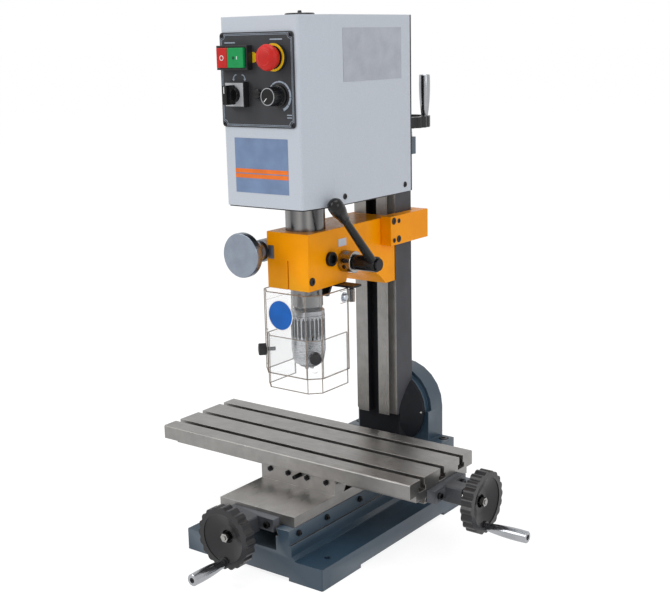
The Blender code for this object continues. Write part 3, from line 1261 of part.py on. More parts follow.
def pulley_profile(groove_radius):
    """Outer side of a flanged pulley, top to bottom."""
    rim = groove_radius + PULLEY_FLANGE_HEIGHT
    return [
        (rim, PULLEY_TOP),
        (rim, PULLEY_TOP - PULLEY_FLANGE),
        (groove_radius, PULLEY_TOP - PULLEY_FLANGE),
        (groove_radius, PULLEY_BOTTOM + PULLEY_FLANGE),
        (rim, PULLEY_BOTTOM + PULLEY_FLANGE),
        (rim, PULLEY_BOTTOM),
    ]


def build_motor_pulley(carrier):
    axis = frame_on((0, MOTOR_Y, 0), UP)
    shaft = [(0, MOTOR_SHAFT_TOP), (MOTOR_SHAFT_RADIUS, MOTOR_SHAFT_TOP),
             (MOTOR_SHAFT_RADIUS, PULLEY_TOP)]
    shaft += pulley_profile(MOTOR_PULLEY_RADIUS)
    shaft += [(MOTOR_SHAFT_RADIUS, PULLEY_BOTTOM), (MOTOR_SHAFT_RADIUS, MOTOR_SHAFT_BOTTOM),
              (0, MOTOR_SHAFT_BOTTOM)]
    piece("motor_pulley", turned(axis, shaft), "ground_steel", carrier)


def build_spindle(carrier):
    axis = frame_on((0, SPINDLE_Y, 0), UP)
    flange_top = HEAD_PLATE_TOP + SEAT_GAP + SLEEVE_FLANGE_THICKNESS
    profile = [(0, DRAWBAR_TOP), (DRAWBAR_RADIUS, DRAWBAR_TOP), (DRAWBAR_RADIUS, PULLEY_TOP)]
    profile += pulley_profile(SPINDLE_PULLEY_RADIUS)
    profile += [
        (SPINDLE_LAND_RADIUS, PULLEY_BOTTOM),
        (SPINDLE_LAND_RADIUS, flange_top - SPINDLE_LAND_LENGTH),
        (SPINDLE_RADIUS, flange_top - SPINDLE_LAND_LENGTH),
        (SPINDLE_RADIUS, SLEEVE_BOTTOM + SPINDLE_LAND_LENGTH),
        (SPINDLE_LAND_RADIUS, SLEEVE_BOTTOM + SPINDLE_LAND_LENGTH),
        (SPINDLE_LAND_RADIUS, NOSE_TOP),
        (NOSE_RADIUS, NOSE_TOP),
        (NOSE_RADIUS, NOSE_BOTTOM),
        (CHUCK_STUB_RADIUS, NOSE_BOTTOM),
        (CHUCK_STUB_RADIUS, NOSE_BOTTOM - CHUCK_STUB_LENGTH),
        (0, NOSE_BOTTOM - CHUCK_STUB_LENGTH),
    ]
    piece("spindle", turned(axis, profile), "ground_steel", carrier)

    body = [
        (0, CHUCK_TOP),
        (CHUCK_TOP_RADIUS, CHUCK_TOP),
        (CHUCK_RADIUS - SEAT_GAP, CHUCK_RING_TOP),
        (CHUCK_RADIUS - SEAT_GAP, CHUCK_RING_BOTTOM),
        (CHUCK_CORE_RADIUS, CHUCK_RING_BOTTOM),
        (CHUCK_CORE_RADIUS, CHUCK_NOSE_Z),
        (CHUCK_NOSE_RADIUS, CHUCK_BOTTOM),
        (0, CHUCK_BOTTOM),
    ]
    chuck = piece("drill_chuck", turned(axis, body), "ground_steel", carrier)
    cut(chuck, "stub_hole", rod(axis, NOSE_BOTTOM - CHUCK_STUB_LENGTH - SEAT_GAP,
                                CHUCK_TOP + OVERRUN, CHUCK_STUB_RADIUS + SEAT_GAP,
                                sides=SMALL_SIDES))
    cut(chuck, "tool_bore", rod(axis, CHUCK_BOTTOM - OVERRUN, CHUCK_BOTTOM + CHUCK_BORE_DEPTH,
                               CHUCK_BORE_RADIUS,
                                sides=SMALL_SIDES))
    for number in range(1, JAW_COUNT + 1):
        cut(chuck, "jaw_pocket_" + str(number),
            rod(jaw_frame(number), -JAW_RADIUS - OVERRUN, JAW_LENGTH + JAW_TRAVEL + SEAT_GAP,
                JAW_RADIUS + SEAT_GAP, sides=SMALL_SIDES))


def jaw_direction(number):
    """The way a jaw slides as the chuck opens."""
    turn = JAW_START + 2 * math.pi * number / JAW_COUNT
    lean = math.sin(JAW_TILT)
    return Vector((math.cos(turn) * lean, math.sin(turn) * lean, math.cos(JAW_TILT)))


def jaw_tip(number):
    turn = JAW_START + 2 * math.pi * number / JAW_COUNT
    return Vector((math.cos(turn) * JAW_TIP_OFFSET, SPINDLE_Y + math.sin(turn) * JAW_TIP_OFFSET,
                   CHUCK_BOTTOM - JAW_TIP_DROP))


def jaw_frame(number):
    return frame_on(jaw_tip(number), jaw_direction(number))


def build_chuck_sleeve(carrier):
    axis = frame_on((0, SPINDLE_Y, 0), UP)
    bore = CHUCK_CORE_RADIUS + SEAT_GAP
    top = CHUCK_RING_BOTTOM - SEAT_GAP
    sleeve = [(CHUCK_RADIUS, top), (CHUCK_RADIUS, CHUCK_NOSE_Z + CHUCK_CONE_HEIGHT),
              (CHUCK_SLEEVE_END_RADIUS, CHUCK_NOSE_Z), (bore, CHUCK_NOSE_Z), (bore, top)]
    piece("chuck_sleeve", turned(axis, sleeve, closed=True), "ground_steel", carrier)


def panel_front(depth):
    """The y of a front face that stands a depth proud of the cover."""
    return COVER_FRONT - SEAT_GAP - depth


def build_panel(carrier):
    plate_face = panel_front(PANEL_THICKNESS)
    outline = rounded(box_outline(PANEL_LEFT, PANEL_RIGHT, PANEL_BOTTOM, PANEL_TOP),
                      PANEL_CORNER_RADIUS)
    panel = piece("control_panel", plate_y([outline], plate_face, panel_front(0)), "panel_black",
                  carrier)
    root = plate_face + PANEL_THICKNESS / 2
    switch_face = plate_face - SWITCH_DEPTH
    join(panel, "switch_box", block((SWITCH_LEFT, switch_face, SWITCH_BOTTOM),
                                    (SWITCH_RIGHT, root, SWITCH_TOP)))
    pocket = SEAT_GAP
    cut(panel, "switch_pocket", block((BUTTON_LEFT - pocket, switch_face - OVERRUN,
                                       BUTTON_BOTTOM - pocket),
                                      (BUTTON_RIGHT + pocket, switch_face + SWITCH_POCKET_DEPTH,
                                       BUTTON_TOP + pocket)))
    stop_axis = frame_on((STOP_X, plate_face, STOP_Z), -BACK)
    join(panel, "stop_base", rod(stop_axis, -PANEL_THICKNESS / 2, STOP_BASE_DEPTH,
                                 STOP_BASE_RADIUS))
    cut(panel, "stop_hole", rod(stop_axis, 0, STOP_BASE_DEPTH + OVERRUN,
                                STOP_STEM_RADIUS + SLIDE_GAP))
    join(panel, "selector_box", block((SELECTOR_LEFT, plate_face - SELECTOR_DEPTH, SELECTOR_BOTTOM),
                                      (SELECTOR_RIGHT, root, SELECTOR_TOP)))
    join(panel, "fuse_cap", rod(frame_on((FUSE_X, plate_face, FUSE_Z), -BACK),
                                -PANEL_THICKNESS / 2, FUSE_DEPTH, FUSE_RADIUS, sides=SMALL_SIDES))


def build_controls(carriers):
    plate_face = panel_front(PANEL_THICKNESS)
    switch_face = plate_face - SWITCH_DEPTH
    front = switch_face - BUTTON_PROUD
    back = switch_face + SWITCH_POCKET_DEPTH - BUTTON_TRAVEL - SEAT_GAP
    gap = SEAT_GAP / 2
    piece("stop_button", block((BUTTON_LEFT, front, BUTTON_BOTTOM),
                               (BUTTON_SPLIT - gap, back, BUTTON_TOP)), "button_red",
          carriers["stop_button"])
    piece("start_button", block((BUTTON_SPLIT + gap, front, BUTTON_BOTTOM),
                                (BUTTON_RIGHT, back, BUTTON_TOP)), "button_green",
          carriers["start_button"])

    stop_axis = frame_on((STOP_X, plate_face, STOP_Z), -BACK)
    head_back = STOP_BASE_DEPTH + STOP_TRAVEL + SEAT_GAP
    head_front = head_back + STOP_LENGTH
    stem_back = head_back - STOP_STEM_LENGTH
    mushroom = [
        (0, head_front),
        (STOP_RADIUS - STOP_EDGE, head_front),
        (STOP_RADIUS, head_front - STOP_EDGE),
        (STOP_RADIUS, head_front - STOP_LENGTH / 2),
        (STOP_BACK_RADIUS, head_back),
        (STOP_STEM_RADIUS, head_back),
        (STOP_STEM_RADIUS, stem_back),
        (0, stem_back),
    ]
    piece("emergency_stop", turned(stop_axis, mushroom), "button_red", carriers["emergency_stop"])

    selector_x = (SELECTOR_LEFT + SELECTOR_RIGHT) / 2
    selector_z = (SELECTOR_BOTTOM + SELECTOR_TOP) / 2
    selector_face = plate_face - SELECTOR_DEPTH - SEAT_GAP
    selector = piece("direction_selector",
                     rod(frame_on((selector_x, selector_face, selector_z), -BACK), 0,
                         SELECTOR_DISC_DEPTH, SELECTOR_DISC_RADIUS, sides=SMALL_SIDES),
                     "dark_plastic", carriers["direction_selector"])
    join(selector, "bar", block((selector_x - SELECTOR_BAR_HALF_WIDTH,
                                 selector_face - SELECTOR_BAR_DEPTH,
                                 selector_z - SELECTOR_BAR_HALF_LENGTH),
                                (selector_x + SELECTOR_BAR_HALF_WIDTH, selector_face - SEAT_GAP,
                                 selector_z + SELECTOR_BAR_HALF_LENGTH)))

    knob = [
        (0, SPEED_DEPTH),
        (SPEED_RADIUS - DIAL_CHAMFER, SPEED_DEPTH),
        (SPEED_RADIUS, SPEED_DEPTH - DIAL_CHAMFER),
        (SPEED_RADIUS, SPEED_SKIRT_DEPTH),
        (SPEED_SKIRT_RADIUS, SPEED_SKIRT_DEPTH),
        (SPEED_SKIRT_RADIUS, SEAT_GAP),
        (0, SEAT_GAP),
    ]
    piece("speed_knob", turned(frame_on((SPEED_X, plate_face, SPEED_Z), -BACK), knob),
          "dark_plastic", carriers["speed_knob"])


def guard_band(inset, thickness):
    """A band in plan, round the chuck from the right rear to the left rear."""
    outer = guard_path(inset)
    inner = guard_path(inset + thickness)
    return outer + inner[::-1]


def guard_path(inset):
    """The guard's wall line in plan, moved in by an inset."""
    corner_share = math.tan(GUARD_CORNER / 2)
    side = GUARD_SIDE - inset
    front = GUARD_FRONT + inset
    front_half = GUARD_FRONT_HALF - inset * corner_share
    chamfer_y = GUARD_FRONT + GUARD_SIDE - GUARD_FRONT_HALF + inset * corner_share
    return [(side, GUARD_REAR), (side, chamfer_y), (front_half, front),
            (-front_half, front), (-side, chamfer_y), (-side, GUARD_REAR)]


def thumb_frame(sign):
    """Frame of a guard thumb screw, on the outer face of its corner wall."""
    depth = (GUARD_SIDE - GUARD_FRONT_HALF) / 2
    middle = Vector((sign * (GUARD_SIDE - depth), GUARD_FRONT + depth, THUMB_Z))
    return frame_on(middle, Vector((sign, -1, 0)), UP)


def build_guard_bracket(carrier):
    top = BRACKET_BOTTOM - SEAT_GAP
    bottom = top - BRACKET_PLATE_THICKNESS
    bracket = piece("guard_bracket", block((BRACKET_PLATE_LEFT, BRACKET_PLATE_FRONT, bottom),
                                           (BRACKET_PLATE_RIGHT, BRACKET_PLATE_REAR, top)),
                    "black_oxide", carrier)
    bar = [
        (CROSSBAR_LEFT, CROSSBAR_BOTTOM),
        (CROSSBAR_RIGHT - CROSSBAR_END_SLANT, CROSSBAR_BOTTOM),
        (CROSSBAR_RIGHT, top - SEAT_GAP),
        (CROSSBAR_LEFT, top - SEAT_GAP),
    ]
    join(bracket, "crossbar", plate_y([bar], CROSSBAR_FRONT, CROSSBAR_REAR))
    join(bracket, "hinge_pin", rod(frame_on((HINGE_X, HINGE_Y, 0), UP), HINGE_BARREL_BOTTOM,
                                   bottom + EMBED, HINGE_PIN_RADIUS, sides=SMALL_SIDES))
    cut(bracket, "quill_relief", rod(frame_on((0, SPINDLE_Y, 0), UP), bottom - OVERRUN,
                                     top + OVERRUN, QUILL_RADIUS + SLIDE_GAP))


def build_guard(carrier):
    guard = piece("guard_outer", plate_z([guard_band(0, GUARD_WALL)], GUARD_BOTTOM, GUARD_TOP),
                  "clear_plastic", carrier)
    wall_inner = GUARD_SIDE - GUARD_WALL
    join(guard, "strip", block((-wall_inner - GUARD_WALL / 2, GUARD_STRIP_FRONT,
                                GUARD_STRIP_BOTTOM),
                               (-wall_inner + GUARD_STRIP_THICKNESS, GUARD_REAR - SEAT_GAP,
                                GUARD_TOP - SEAT_GAP)))
    leaf_inner = GUARD_SIDE - GUARD_WALL / 2
    leaf_bottom = HINGE_BARREL_BOTTOM + SEAT_GAP
    join(guard, "leaf", block((leaf_inner, HINGE_LEAF_FRONT, leaf_bottom),
                              (GUARD_SIDE + HINGE_LEAF_THICKNESS, HINGE_Y,
                               HINGE_BARREL_TOP - SEAT_GAP)))
    axis = frame_on((HINGE_X, HINGE_Y, 0), UP)
    join(guard, "barrel", rod(axis, HINGE_BARREL_BOTTOM, HINGE_BARREL_TOP, HINGE_BARREL_RADIUS,
                              sides=SMALL_SIDES))
    cut(guard, "pin_bore", rod(axis, HINGE_BARREL_BOTTOM - OVERRUN, HINGE_BARREL_TOP + OVERRUN,
                               HINGE_PIN_RADIUS + SLIDE_GAP, sides=SMALL_SIDES))
    for side, sign in (("left", -1), ("right", 1)):
        frame = thumb_frame(sign)
        low = SLOT_BOTTOM - THUMB_Z + SLOT_HALF_WIDTH
        high = SLOT_TOP - THUMB_Z - SLOT_HALF_WIDTH
        slot = arc((high, 0), SLOT_HALF_WIDTH, -90, 90, 2 * CORNER_STEPS)
        slot += arc((low, 0), SLOT_HALF_WIDTH, 90, 270, 2 * CORNER_STEPS)
        cut(guard, "slot_" + side, plate(frame, [slot], -GUARD_WALL - SLOT_OVERRUN, OVERRUN))


def build_inner_guard(carrier, screw_carriers):
    inset = GUARD_WALL + INNER_GUARD_GAP
    guard = piece("guard_inner", plate_z([guard_band(inset, INNER_GUARD_WALL)],
                                         INNER_GUARD_BOTTOM, INNER_GUARD_TOP),
                  "clear_plastic", carrier)
    for side, sign in (("left", -1), ("right", 1)):
        frame = thumb_frame(sign)
        cut(guard, "screw_hole_" + side,
            rod(frame, -inset - INNER_GUARD_WALL - OVERRUN, -inset + OVERRUN,
                THUMB_SHANK_RADIUS + SEAT_GAP, sides=SMALL_SIDES))
        thumb = [(0, THUMB_LENGTH), (THUMB_RADIUS - DIAL_CHAMFER, THUMB_LENGTH),
                 (THUMB_RADIUS, THUMB_LENGTH - DIAL_CHAMFER), (THUMB_RADIUS, SEAT_GAP),
                 (THUMB_SHANK_RADIUS, SEAT_GAP), (THUMB_SHANK_RADIUS, -THUMB_SHANK_LENGTH),
                 (0, -THUMB_SHANK_LENGTH)]
        piece("guard_screw_" + side, turned(frame, thumb, sides=SMALL_SIDES), "dark_plastic",
              screw_carriers[side])


def main():
    build_base()
    build_upright()

    saddle_slide = make_carrier("saddle_slide", (0, 0, WAY_TOP))
    y_root = Vector((0, SADDLE_FRONT, Y_AXIS_Z))
    y_face = frame_on(y_root - BACK * FEED_ARM_REACH, -BACK, -UP)
    y_axis = make_carrier("y_screw_axis", y_face.translation, saddle_slide)
    y_crank = make_carrier("y_handle_axis", crank_point(y_face), y_axis)
    build_saddle(saddle_slide)
    feed_bracket("y_bracket", saddle_slide, frame_on(y_root, -BACK, UP))
    feed_set("y", y_axis, y_crank, y_face, Y_SCREW_TAIL + FEED_ARM_REACH)

    table_slide = make_carrier("table_slide", (0, 0, TABLE_WAY_TOP), saddle_slide)
    x_root = Vector((TABLE_RIGHT, 0, X_AXIS_Z))
    x_face = frame_on(x_root + RIGHT * FEED_ARM_REACH, RIGHT, -UP)
    x_axis = make_carrier("x_screw_axis", x_face.translation, table_slide)
    x_crank = make_carrier("x_handle_axis", crank_point(x_face), x_axis)
    build_table(table_slide)
    feed_bracket("x_bracket", table_slide, frame_on(x_root, RIGHT, UP))
    feed_set("x", x_axis, x_crank, x_face, X_SCREW_TAIL + FEED_ARM_REACH)

    tilt = make_carrier("tilt_axis", (0, UPRIGHT_FRONT, TILT_Z))
    build_column(tilt)
    z_face = frame_on((0, Z_AXIS_Y, Z_BEARING_TOP), UP, (Z_CRANK_X_SHARE, Z_CRANK_Y_SHARE, 0))
    z_axis = make_carrier("z_screw_axis", z_face.translation, tilt)
    z_crank = make_carrier("z_handle_axis", crank_point(z_face), z_axis)
    feed_set("z", z_axis, z_crank, z_face, Z_SCREW_TAIL)

    head = make_carrier("head_slide", (0, COLUMN_FRONT, PINION_Z), tilt)
    build_head(head)
    build_lever(make_carrier("pinion_axis", (0, 0, PINION_Z), head))
    build_fine_feed(make_carrier("fine_feed_axis", (WORM_X, KNOB_FACE, KNOB_Z), head))

    quill = make_carrier("quill_slide", (0, SPINDLE_Y, SLEEVE_BOTTOM), head)
    build_drive_head(quill)
    build_motor_pulley(make_carrier("motor_axis", (0, MOTOR_Y, PULLEY_BOTTOM), quill))
    spindle = make_carrier("spindle_axis", (0, SPINDLE_Y, NOSE_BOTTOM), quill)
    build_spindle(spindle)
    build_chuck_sleeve(make_carrier("chuck_sleeve_axis", (0, SPINDLE_Y, CHUCK_NOSE_Z), spindle))
    for number in range(1, JAW_COUNT + 1):
        slide = make_carrier("chuck_jaw_slide_" + str(number), jaw_tip(number), spindle)
        piece("chuck_jaw_" + str(number), rod(jaw_frame(number), 0, JAW_LENGTH, JAW_RADIUS,
                                              sides=SMALL_SIDES), "bright_steel", slide)

    build_panel(quill)
    face = panel_front(PANEL_THICKNESS)
    switch_z = (BUTTON_BOTTOM + BUTTON_TOP) / 2
    selector_point = ((SELECTOR_LEFT + SELECTOR_RIGHT) / 2, face - SELECTOR_DEPTH,
                      (SELECTOR_BOTTOM + SELECTOR_TOP) / 2)
    places = {
        "stop_button": ((BUTTON_LEFT + BUTTON_SPLIT) / 2, face - SWITCH_DEPTH, switch_z),
        "start_button": ((BUTTON_SPLIT + BUTTON_RIGHT) / 2, face - SWITCH_DEPTH, switch_z),
        "emergency_stop": (STOP_X, face - STOP_BASE_DEPTH, STOP_Z),
        "direction_selector": selector_point,
        "speed_knob": (SPEED_X, face, SPEED_Z),
    }
    build_controls({name: make_carrier(name + "_axis", place, quill)
                    for name, place in places.items()})

    build_guard_bracket(head)
    hinge = make_carrier("guard_hinge", (HINGE_X, HINGE_Y, GUARD_TOP), head)
    build_guard(hinge)
    inner_slide = make_carrier("guard_slide", (0, GUARD_FRONT, INNER_GUARD_BOTTOM), hinge)
    screws = {side: make_carrier("guard_screw_axis_" + side, thumb_frame(sign).translation,
                                 inner_slide)
              for side, sign in (("left", -1), ("right", 1))}
    build_inner_guard(inner_slide, screws)


main()
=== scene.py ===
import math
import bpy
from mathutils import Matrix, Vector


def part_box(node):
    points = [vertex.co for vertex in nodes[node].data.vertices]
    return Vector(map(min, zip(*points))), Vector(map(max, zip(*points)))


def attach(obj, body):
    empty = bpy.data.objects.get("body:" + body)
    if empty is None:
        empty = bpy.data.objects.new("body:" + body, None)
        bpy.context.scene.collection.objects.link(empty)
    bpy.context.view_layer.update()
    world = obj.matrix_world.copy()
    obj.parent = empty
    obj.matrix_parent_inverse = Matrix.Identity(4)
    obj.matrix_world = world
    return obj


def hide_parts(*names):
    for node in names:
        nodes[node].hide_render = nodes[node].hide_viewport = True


bl_info = {
    "name": "Drill Mill Finish",
    "version": (1, 0, 0),
    "blender": (4, 5, 0),
    "location": "View3D > Sidebar > Drill Mill",
    "description": "Builds the finished pieces of a bench drill milling machine on its packed frame",
    "category": "Object",
}

import bpy
from mathutils import Matrix, Vector

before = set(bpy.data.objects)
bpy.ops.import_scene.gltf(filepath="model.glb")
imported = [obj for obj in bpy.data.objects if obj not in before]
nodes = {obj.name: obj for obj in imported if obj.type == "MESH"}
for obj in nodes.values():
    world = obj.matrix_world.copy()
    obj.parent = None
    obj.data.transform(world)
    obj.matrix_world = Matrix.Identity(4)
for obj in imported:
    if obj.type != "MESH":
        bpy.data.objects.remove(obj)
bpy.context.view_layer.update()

MM = 0.001
MERGE = 0.00001
PRINT = 0.00012
FOIL = 0.0003
# Sides of round shapes, from the large to the small, and of a hexagon
FINE, ROUND, MEDIUM, HEAD, SMALL, HEX = 96, 64, 48, 32, 24, 6
TRIM_ANGLE = math.radians(30)
SMOOTH_ANGLE = math.radians(38)

UP = Vector((0, 0, 1))
RIGHT = Vector((1, 0, 0))
BACK = Vector((0, 1, 0))
FRONT = Vector((0, -1, 0))

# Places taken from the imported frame
SPINDLE = (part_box("spindle")[0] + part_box("spindle")[1]) / 2
COVER_LOW, COVER_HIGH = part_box("head_cover")
PANEL_LOW, PANEL_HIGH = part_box("control_panel")
PANEL_FACE = PANEL_HIGH.y - 0.0015
PINION_Z = 0.360
TILT_Z = 0.126
CRANK_RADIUS = 0.0310
BRACKET_PLATE = 0.0117
CHUCK_RADIUS = 0.0214
CHUCK_STEPS = 144
# Across and up on the panel
SPEED_CENTRE = (0.0293, 0.5673)
EMERGENCY_CENTRE = (0.0276, 0.6101)
SELECTOR_X = -0.0295
# The outer faces of the chip guard
GUARD_SIDE, GUARD_FRONT, GUARD_REAR = 0.0450, -0.0783, -0.0100
# How far ribs and knurls on the knobs are drawn in
RIB_FACTOR = 0.955

# The photograph's viewpoint
VIEW_PLACE = Vector((0.8706, -1.1391, 0.6273))
VIEW_YAW = math.radians(37.06)
VIEW_PITCH = math.radians(12.69)
VIEW_ROLL = math.radians(-1.31)
VIEW_FOCAL_PIXELS = 1158.93
VIEW_CENTRE = (330.84, 301.27)
IMAGE_SIZE = (670, 600)

# Set by the finishes operator: the palette, and the slot that each finish usually fills
palette = None
usual_slots = {}


# Settings

class DrillMillFinishes(bpy.types.PropertyGroup):
    """Colours of the machine's painted, moulded and printed finishes."""

    cast_blue: bpy.props.FloatVectorProperty(
        name="Base paint", description="Enamel on the base, the upright and the height bearing",
        default=(0.021, 0.046, 0.074), subtype="COLOR", min=0, max=1)
    cast_orange: bpy.props.FloatVectorProperty(
        name="Bracket paint", description="Gloss enamel on the head bracket and its arm",
        default=(0.980, 0.335, 0.0005), subtype="COLOR", min=0, max=1)
    cover_grey: bpy.props.FloatVectorProperty(
        name="Cover paint", description="Powder coat on the sheet head cover",
        default=(0.505, 0.545, 0.605), subtype="COLOR", min=0, max=1)
    panel_charcoal: bpy.props.FloatVectorProperty(
        name="Panel", description="Printed plate that carries the switches",
        default=(0.040, 0.041, 0.046), subtype="COLOR", min=0, max=1)
    steel: bpy.props.FloatVectorProperty(
        name="Ground steel", description="Table, saddle, column ways and feed screws",
        default=(0.275, 0.267, 0.258), subtype="COLOR", min=0, max=1)
    black_plastic: bpy.props.FloatVectorProperty(
        name="Black plastic", description="Handwheels, lever, grip and knobs",
        default=(0.018, 0.018, 0.020), subtype="COLOR", min=0, max=1)


class DrillMillSizes(bpy.types.PropertyGroup):
    """Sizes of the edges and small hardware that the finish adds."""

    casting_edge: bpy.props.FloatProperty(
        name="Casting edge", description="Radius of the softened edges on castings",
        default=0.0014, min=0, unit="LENGTH")
    machined_edge: bpy.props.FloatProperty(
        name="Machined edge", description="Width of the broken edges on machined steel",
        default=0.0004, min=0, unit="LENGTH")
    sheet_edge: bpy.props.FloatProperty(
        name="Sheet edge", description="Radius of the edges on folded sheet",
        default=0.0005, min=0, unit="LENGTH")
    cap_screw_radius: bpy.props.FloatProperty(
        name="Cap screw radius", description="Radius of the socket heads on the feed brackets",
        default=0.0042, min=0, unit="LENGTH")
    flute_depth: bpy.props.FloatProperty(
        name="Flute depth", description="Depth of the grip flutes on the chuck's sleeve",
        default=0.0009, min=0, unit="LENGTH")


class DrillMillLights(bpy.types.PropertyGroup):
    """Lamp powers for the plain studio."""

    key_power: bpy.props.FloatProperty(
        name="Key", description="Soft lamp at the front left", default=34.0, min=0, unit="POWER")
    fill_power: bpy.props.FloatProperty(
        name="Fill", description="Soft lamp at the right", default=16.0, min=0, unit="POWER")
    top_power: bpy.props.FloatProperty(
        name="Top", description="Soft lamp overhead", default=20.0, min=0, unit="POWER")
    sky_level: bpy.props.FloatProperty(
        name="Surround", description="Even light from all round", default=0.55, min=0)


# Modelling steps shared by the operators

def object_mode():
    if bpy.context.object is not None and bpy.context.object.mode != "OBJECT":
        bpy.ops.object.mode_set(mode="OBJECT")


def nothing_selected():
    object_mode()
    bpy.ops.object.select_all(action="DESELECT")


def alone(thing):
    """Select one object and make it the active one."""
    nothing_selected()
    thing.select_set(True)
    bpy.context.view_layer.objects.active = thing


def edit_all(thing):
    alone(thing)
    bpy.ops.object.mode_set(mode="EDIT")
    bpy.ops.mesh.select_mode(type="VERT")
    bpy.ops.mesh.select_all(action="SELECT")


def settle(thing, place=None):
    """Move a piece's place into its mesh, so that its object lies unturned at the origin."""
    if place is not None:
        thing.matrix_world = place
    alone(thing)
    bpy.ops.object.transform_apply(location=True, rotation=True, scale=True)
    return thing


def apply(thing, kind, **values):
    """Add a modifier with these values and apply it."""
    modifier = thing.modifiers.new(kind.lower(), kind)
    for name, value in values.items():
        setattr(modifier, name, value)
    alone(thing)
    bpy.ops.object.modifier_apply(modifier=modifier.name)
    return thing


def soften(thing, width, segments=2, angle=TRIM_ANGLE):
    """Round the sharp edges of a piece."""
    return apply(thing, "BEVEL", width=width, segments=segments, limit_method="ANGLE",
                 angle_limit=angle)


def aim(start, direction, across=None):
    """A frame at a start with its Z along a direction and its X near another."""
    direction = Vector(direction).normalized()
    if across is None:
        across = RIGHT if abs(direction.x) < 0.9 else UP
    across = Vector(across)
    across = (across - direction * across.dot(direction)).normalized()
    turned = Matrix((across, direction.cross(across), direction)).transposed().to_4x4()
    return Matrix.Translation(start) @ turned


def spots(direction, points):
    """Frames at several points, all along one direction."""
    return [aim(point, direction) for point in points]


def lifted(height):
    return Matrix.Translation((0, 0, height))


def on_panel(x, z):
    return aim((x, PANEL_FACE, z), FRONT)


def block(low, high, edge=0.0, segments=2):
    """A box between two corners with softened edges."""
    nothing_selected()
    low = Vector(low)
    high = Vector(high)
    bpy.ops.mesh.primitive_cube_add(size=1, location=(low + high) / 2, scale=high - low)
    thing = settle(bpy.context.object)
    return soften(thing, edge, segments) if edge else thing


def drum(place, low, high, radius, sides=ROUND, edge=0.0):
    """A cylinder along the place's Z with softened rims."""
    nothing_selected()
    bpy.ops.mesh.primitive_cylinder_add(vertices=sides, radius=radius, depth=high - low,
                                        location=(0, 0, (low + high) / 2))
    thing = settle(bpy.context.object)
    if edge:
        soften(thing, edge)
    return settle(thing, place)


def extrude(step):
    bpy.ops.mesh.extrude_region_move(TRANSFORM_OT_translate={"value": step})


def drawn(points):
    """A chain of edges, drawn by extruding one vertex from point to point, all selected."""
    nothing_selected()
    bpy.ops.mesh.primitive_plane_add(size=MM)
    thing = bpy.context.object
    edit_all(thing)
    bpy.ops.mesh.merge(type="CENTER")
    points = [Vector(point) for point in points]
    bpy.ops.transform.translate(value=points[0])
    for before, after in zip(points, points[1:]):
        extrude(after - before)
    bpy.ops.mesh.select_all(action="SELECT")
    return thing


def closed(thing, place):
    """Turn all faces outward, leave edit mode and set the shape in its place."""
    bpy.ops.mesh.select_all(action="SELECT")
    bpy.ops.mesh.normals_make_consistent(inside=False)
    bpy.ops.mesh.select_mode(type="VERT")
    object_mode()
    return settle(thing, place)


def spun(profile, place=Matrix(), sides=ROUND, turn=2 * math.pi):
    """A profile of (radius, height) spun round the place's Z. A ring's profile ends where it starts."""
    thing = drawn([(radius, 0, height) for radius, height in profile])
    bpy.ops.mesh.spin(steps=sides, angle=turn, center=(0, 0, 0), axis=(0, 0, 1))
    bpy.ops.mesh.select_all(action="SELECT")
    bpy.ops.mesh.remove_doubles(threshold=MERGE)
    return closed(thing, place)


def ring(inner, outer, low, high, place=Matrix(), sides=ROUND, turn=2 * math.pi):
    corners = [(inner, low), (outer, low), (outer, high), (inner, high), (inner, low)]
    return spun(corners, place, sides, turn)


def slab(points, place, thickness=PRINT):
    """A flat outline in the place's XY, filled and extruded along its Z."""
    thing = drawn([(across, along, 0) for across, along in points])
    bpy.ops.mesh.edge_face_add()
    extrude((0, 0, thickness))
    return closed(thing, place)


def line_frame(points, width, place):
    """A printed line that follows a closed outline, its inner edge moved in by the line's width."""
    thing = drawn([(across, along, 0) for across, along in points])
    bpy.ops.mesh.edge_face_add()
    bpy.ops.mesh.select_mode(type="FACE")
    bpy.ops.mesh.inset(thickness=width)
    bpy.ops.mesh.delete(type="FACE")
    bpy.ops.mesh.select_all(action="SELECT")
    extrude((0, 0, PRINT))
    return closed(thing, place)


def combine(target, tool, operation):
    apply(target, "BOOLEAN", object=tool, operation=operation, solver="EXACT")
    bpy.data.objects.remove(tool, do_unlink=True)
    return target


def carve(target, tool):
    return combine(target, tool, "DIFFERENCE")


def weld(target, tool):
    return combine(target, tool, "UNION")


def joined(things):
    """Several finished shapes in one object."""
    nothing_selected()
    for thing in things:
        thing.select_set(True)
    bpy.context.view_layer.objects.active = things[0]
    bpy.ops.object.join()
    return things[0]


def copied(name, mesh):
    """An object with its own copy of a mesh."""
    copy = bpy.data.objects.new(name, mesh.copy())
    bpy.context.scene.collection.objects.link(copy)
    return copy


def twin(thing, place):
    return settle(copied(thing.name, thing.data), place)


def repeated(thing, count):
    """Copy a shape round the Z axis, count in all."""
    edit_all(thing)
    bpy.ops.mesh.spin(steps=count - 1, dupli=True, angle=2 * math.pi * (count - 1) / count,
                      center=(0, 0, 0), axis=(0, 0, 1))
    object_mode()
    return thing


def lettering(text, size, place):
    """Centred characters, made a mesh and set in a place."""
    nothing_selected()
    bpy.ops.object.text_add()
    thing = bpy.context.object
    thing.data.body = text
    thing.data.size = size
    thing.data.align_x = "CENTER"
    thing.data.align_y = "CENTER"
    thing.data.extrude = PRINT
    bpy.ops.object.convert(target="MESH")
    return settle(bpy.context.object, place)


def step_of(place, count):
    """Which of the equal steps round the Z axis a place is nearest to."""
    return round(math.atan2(place.y, place.x) / (2 * math.pi) * count) % count


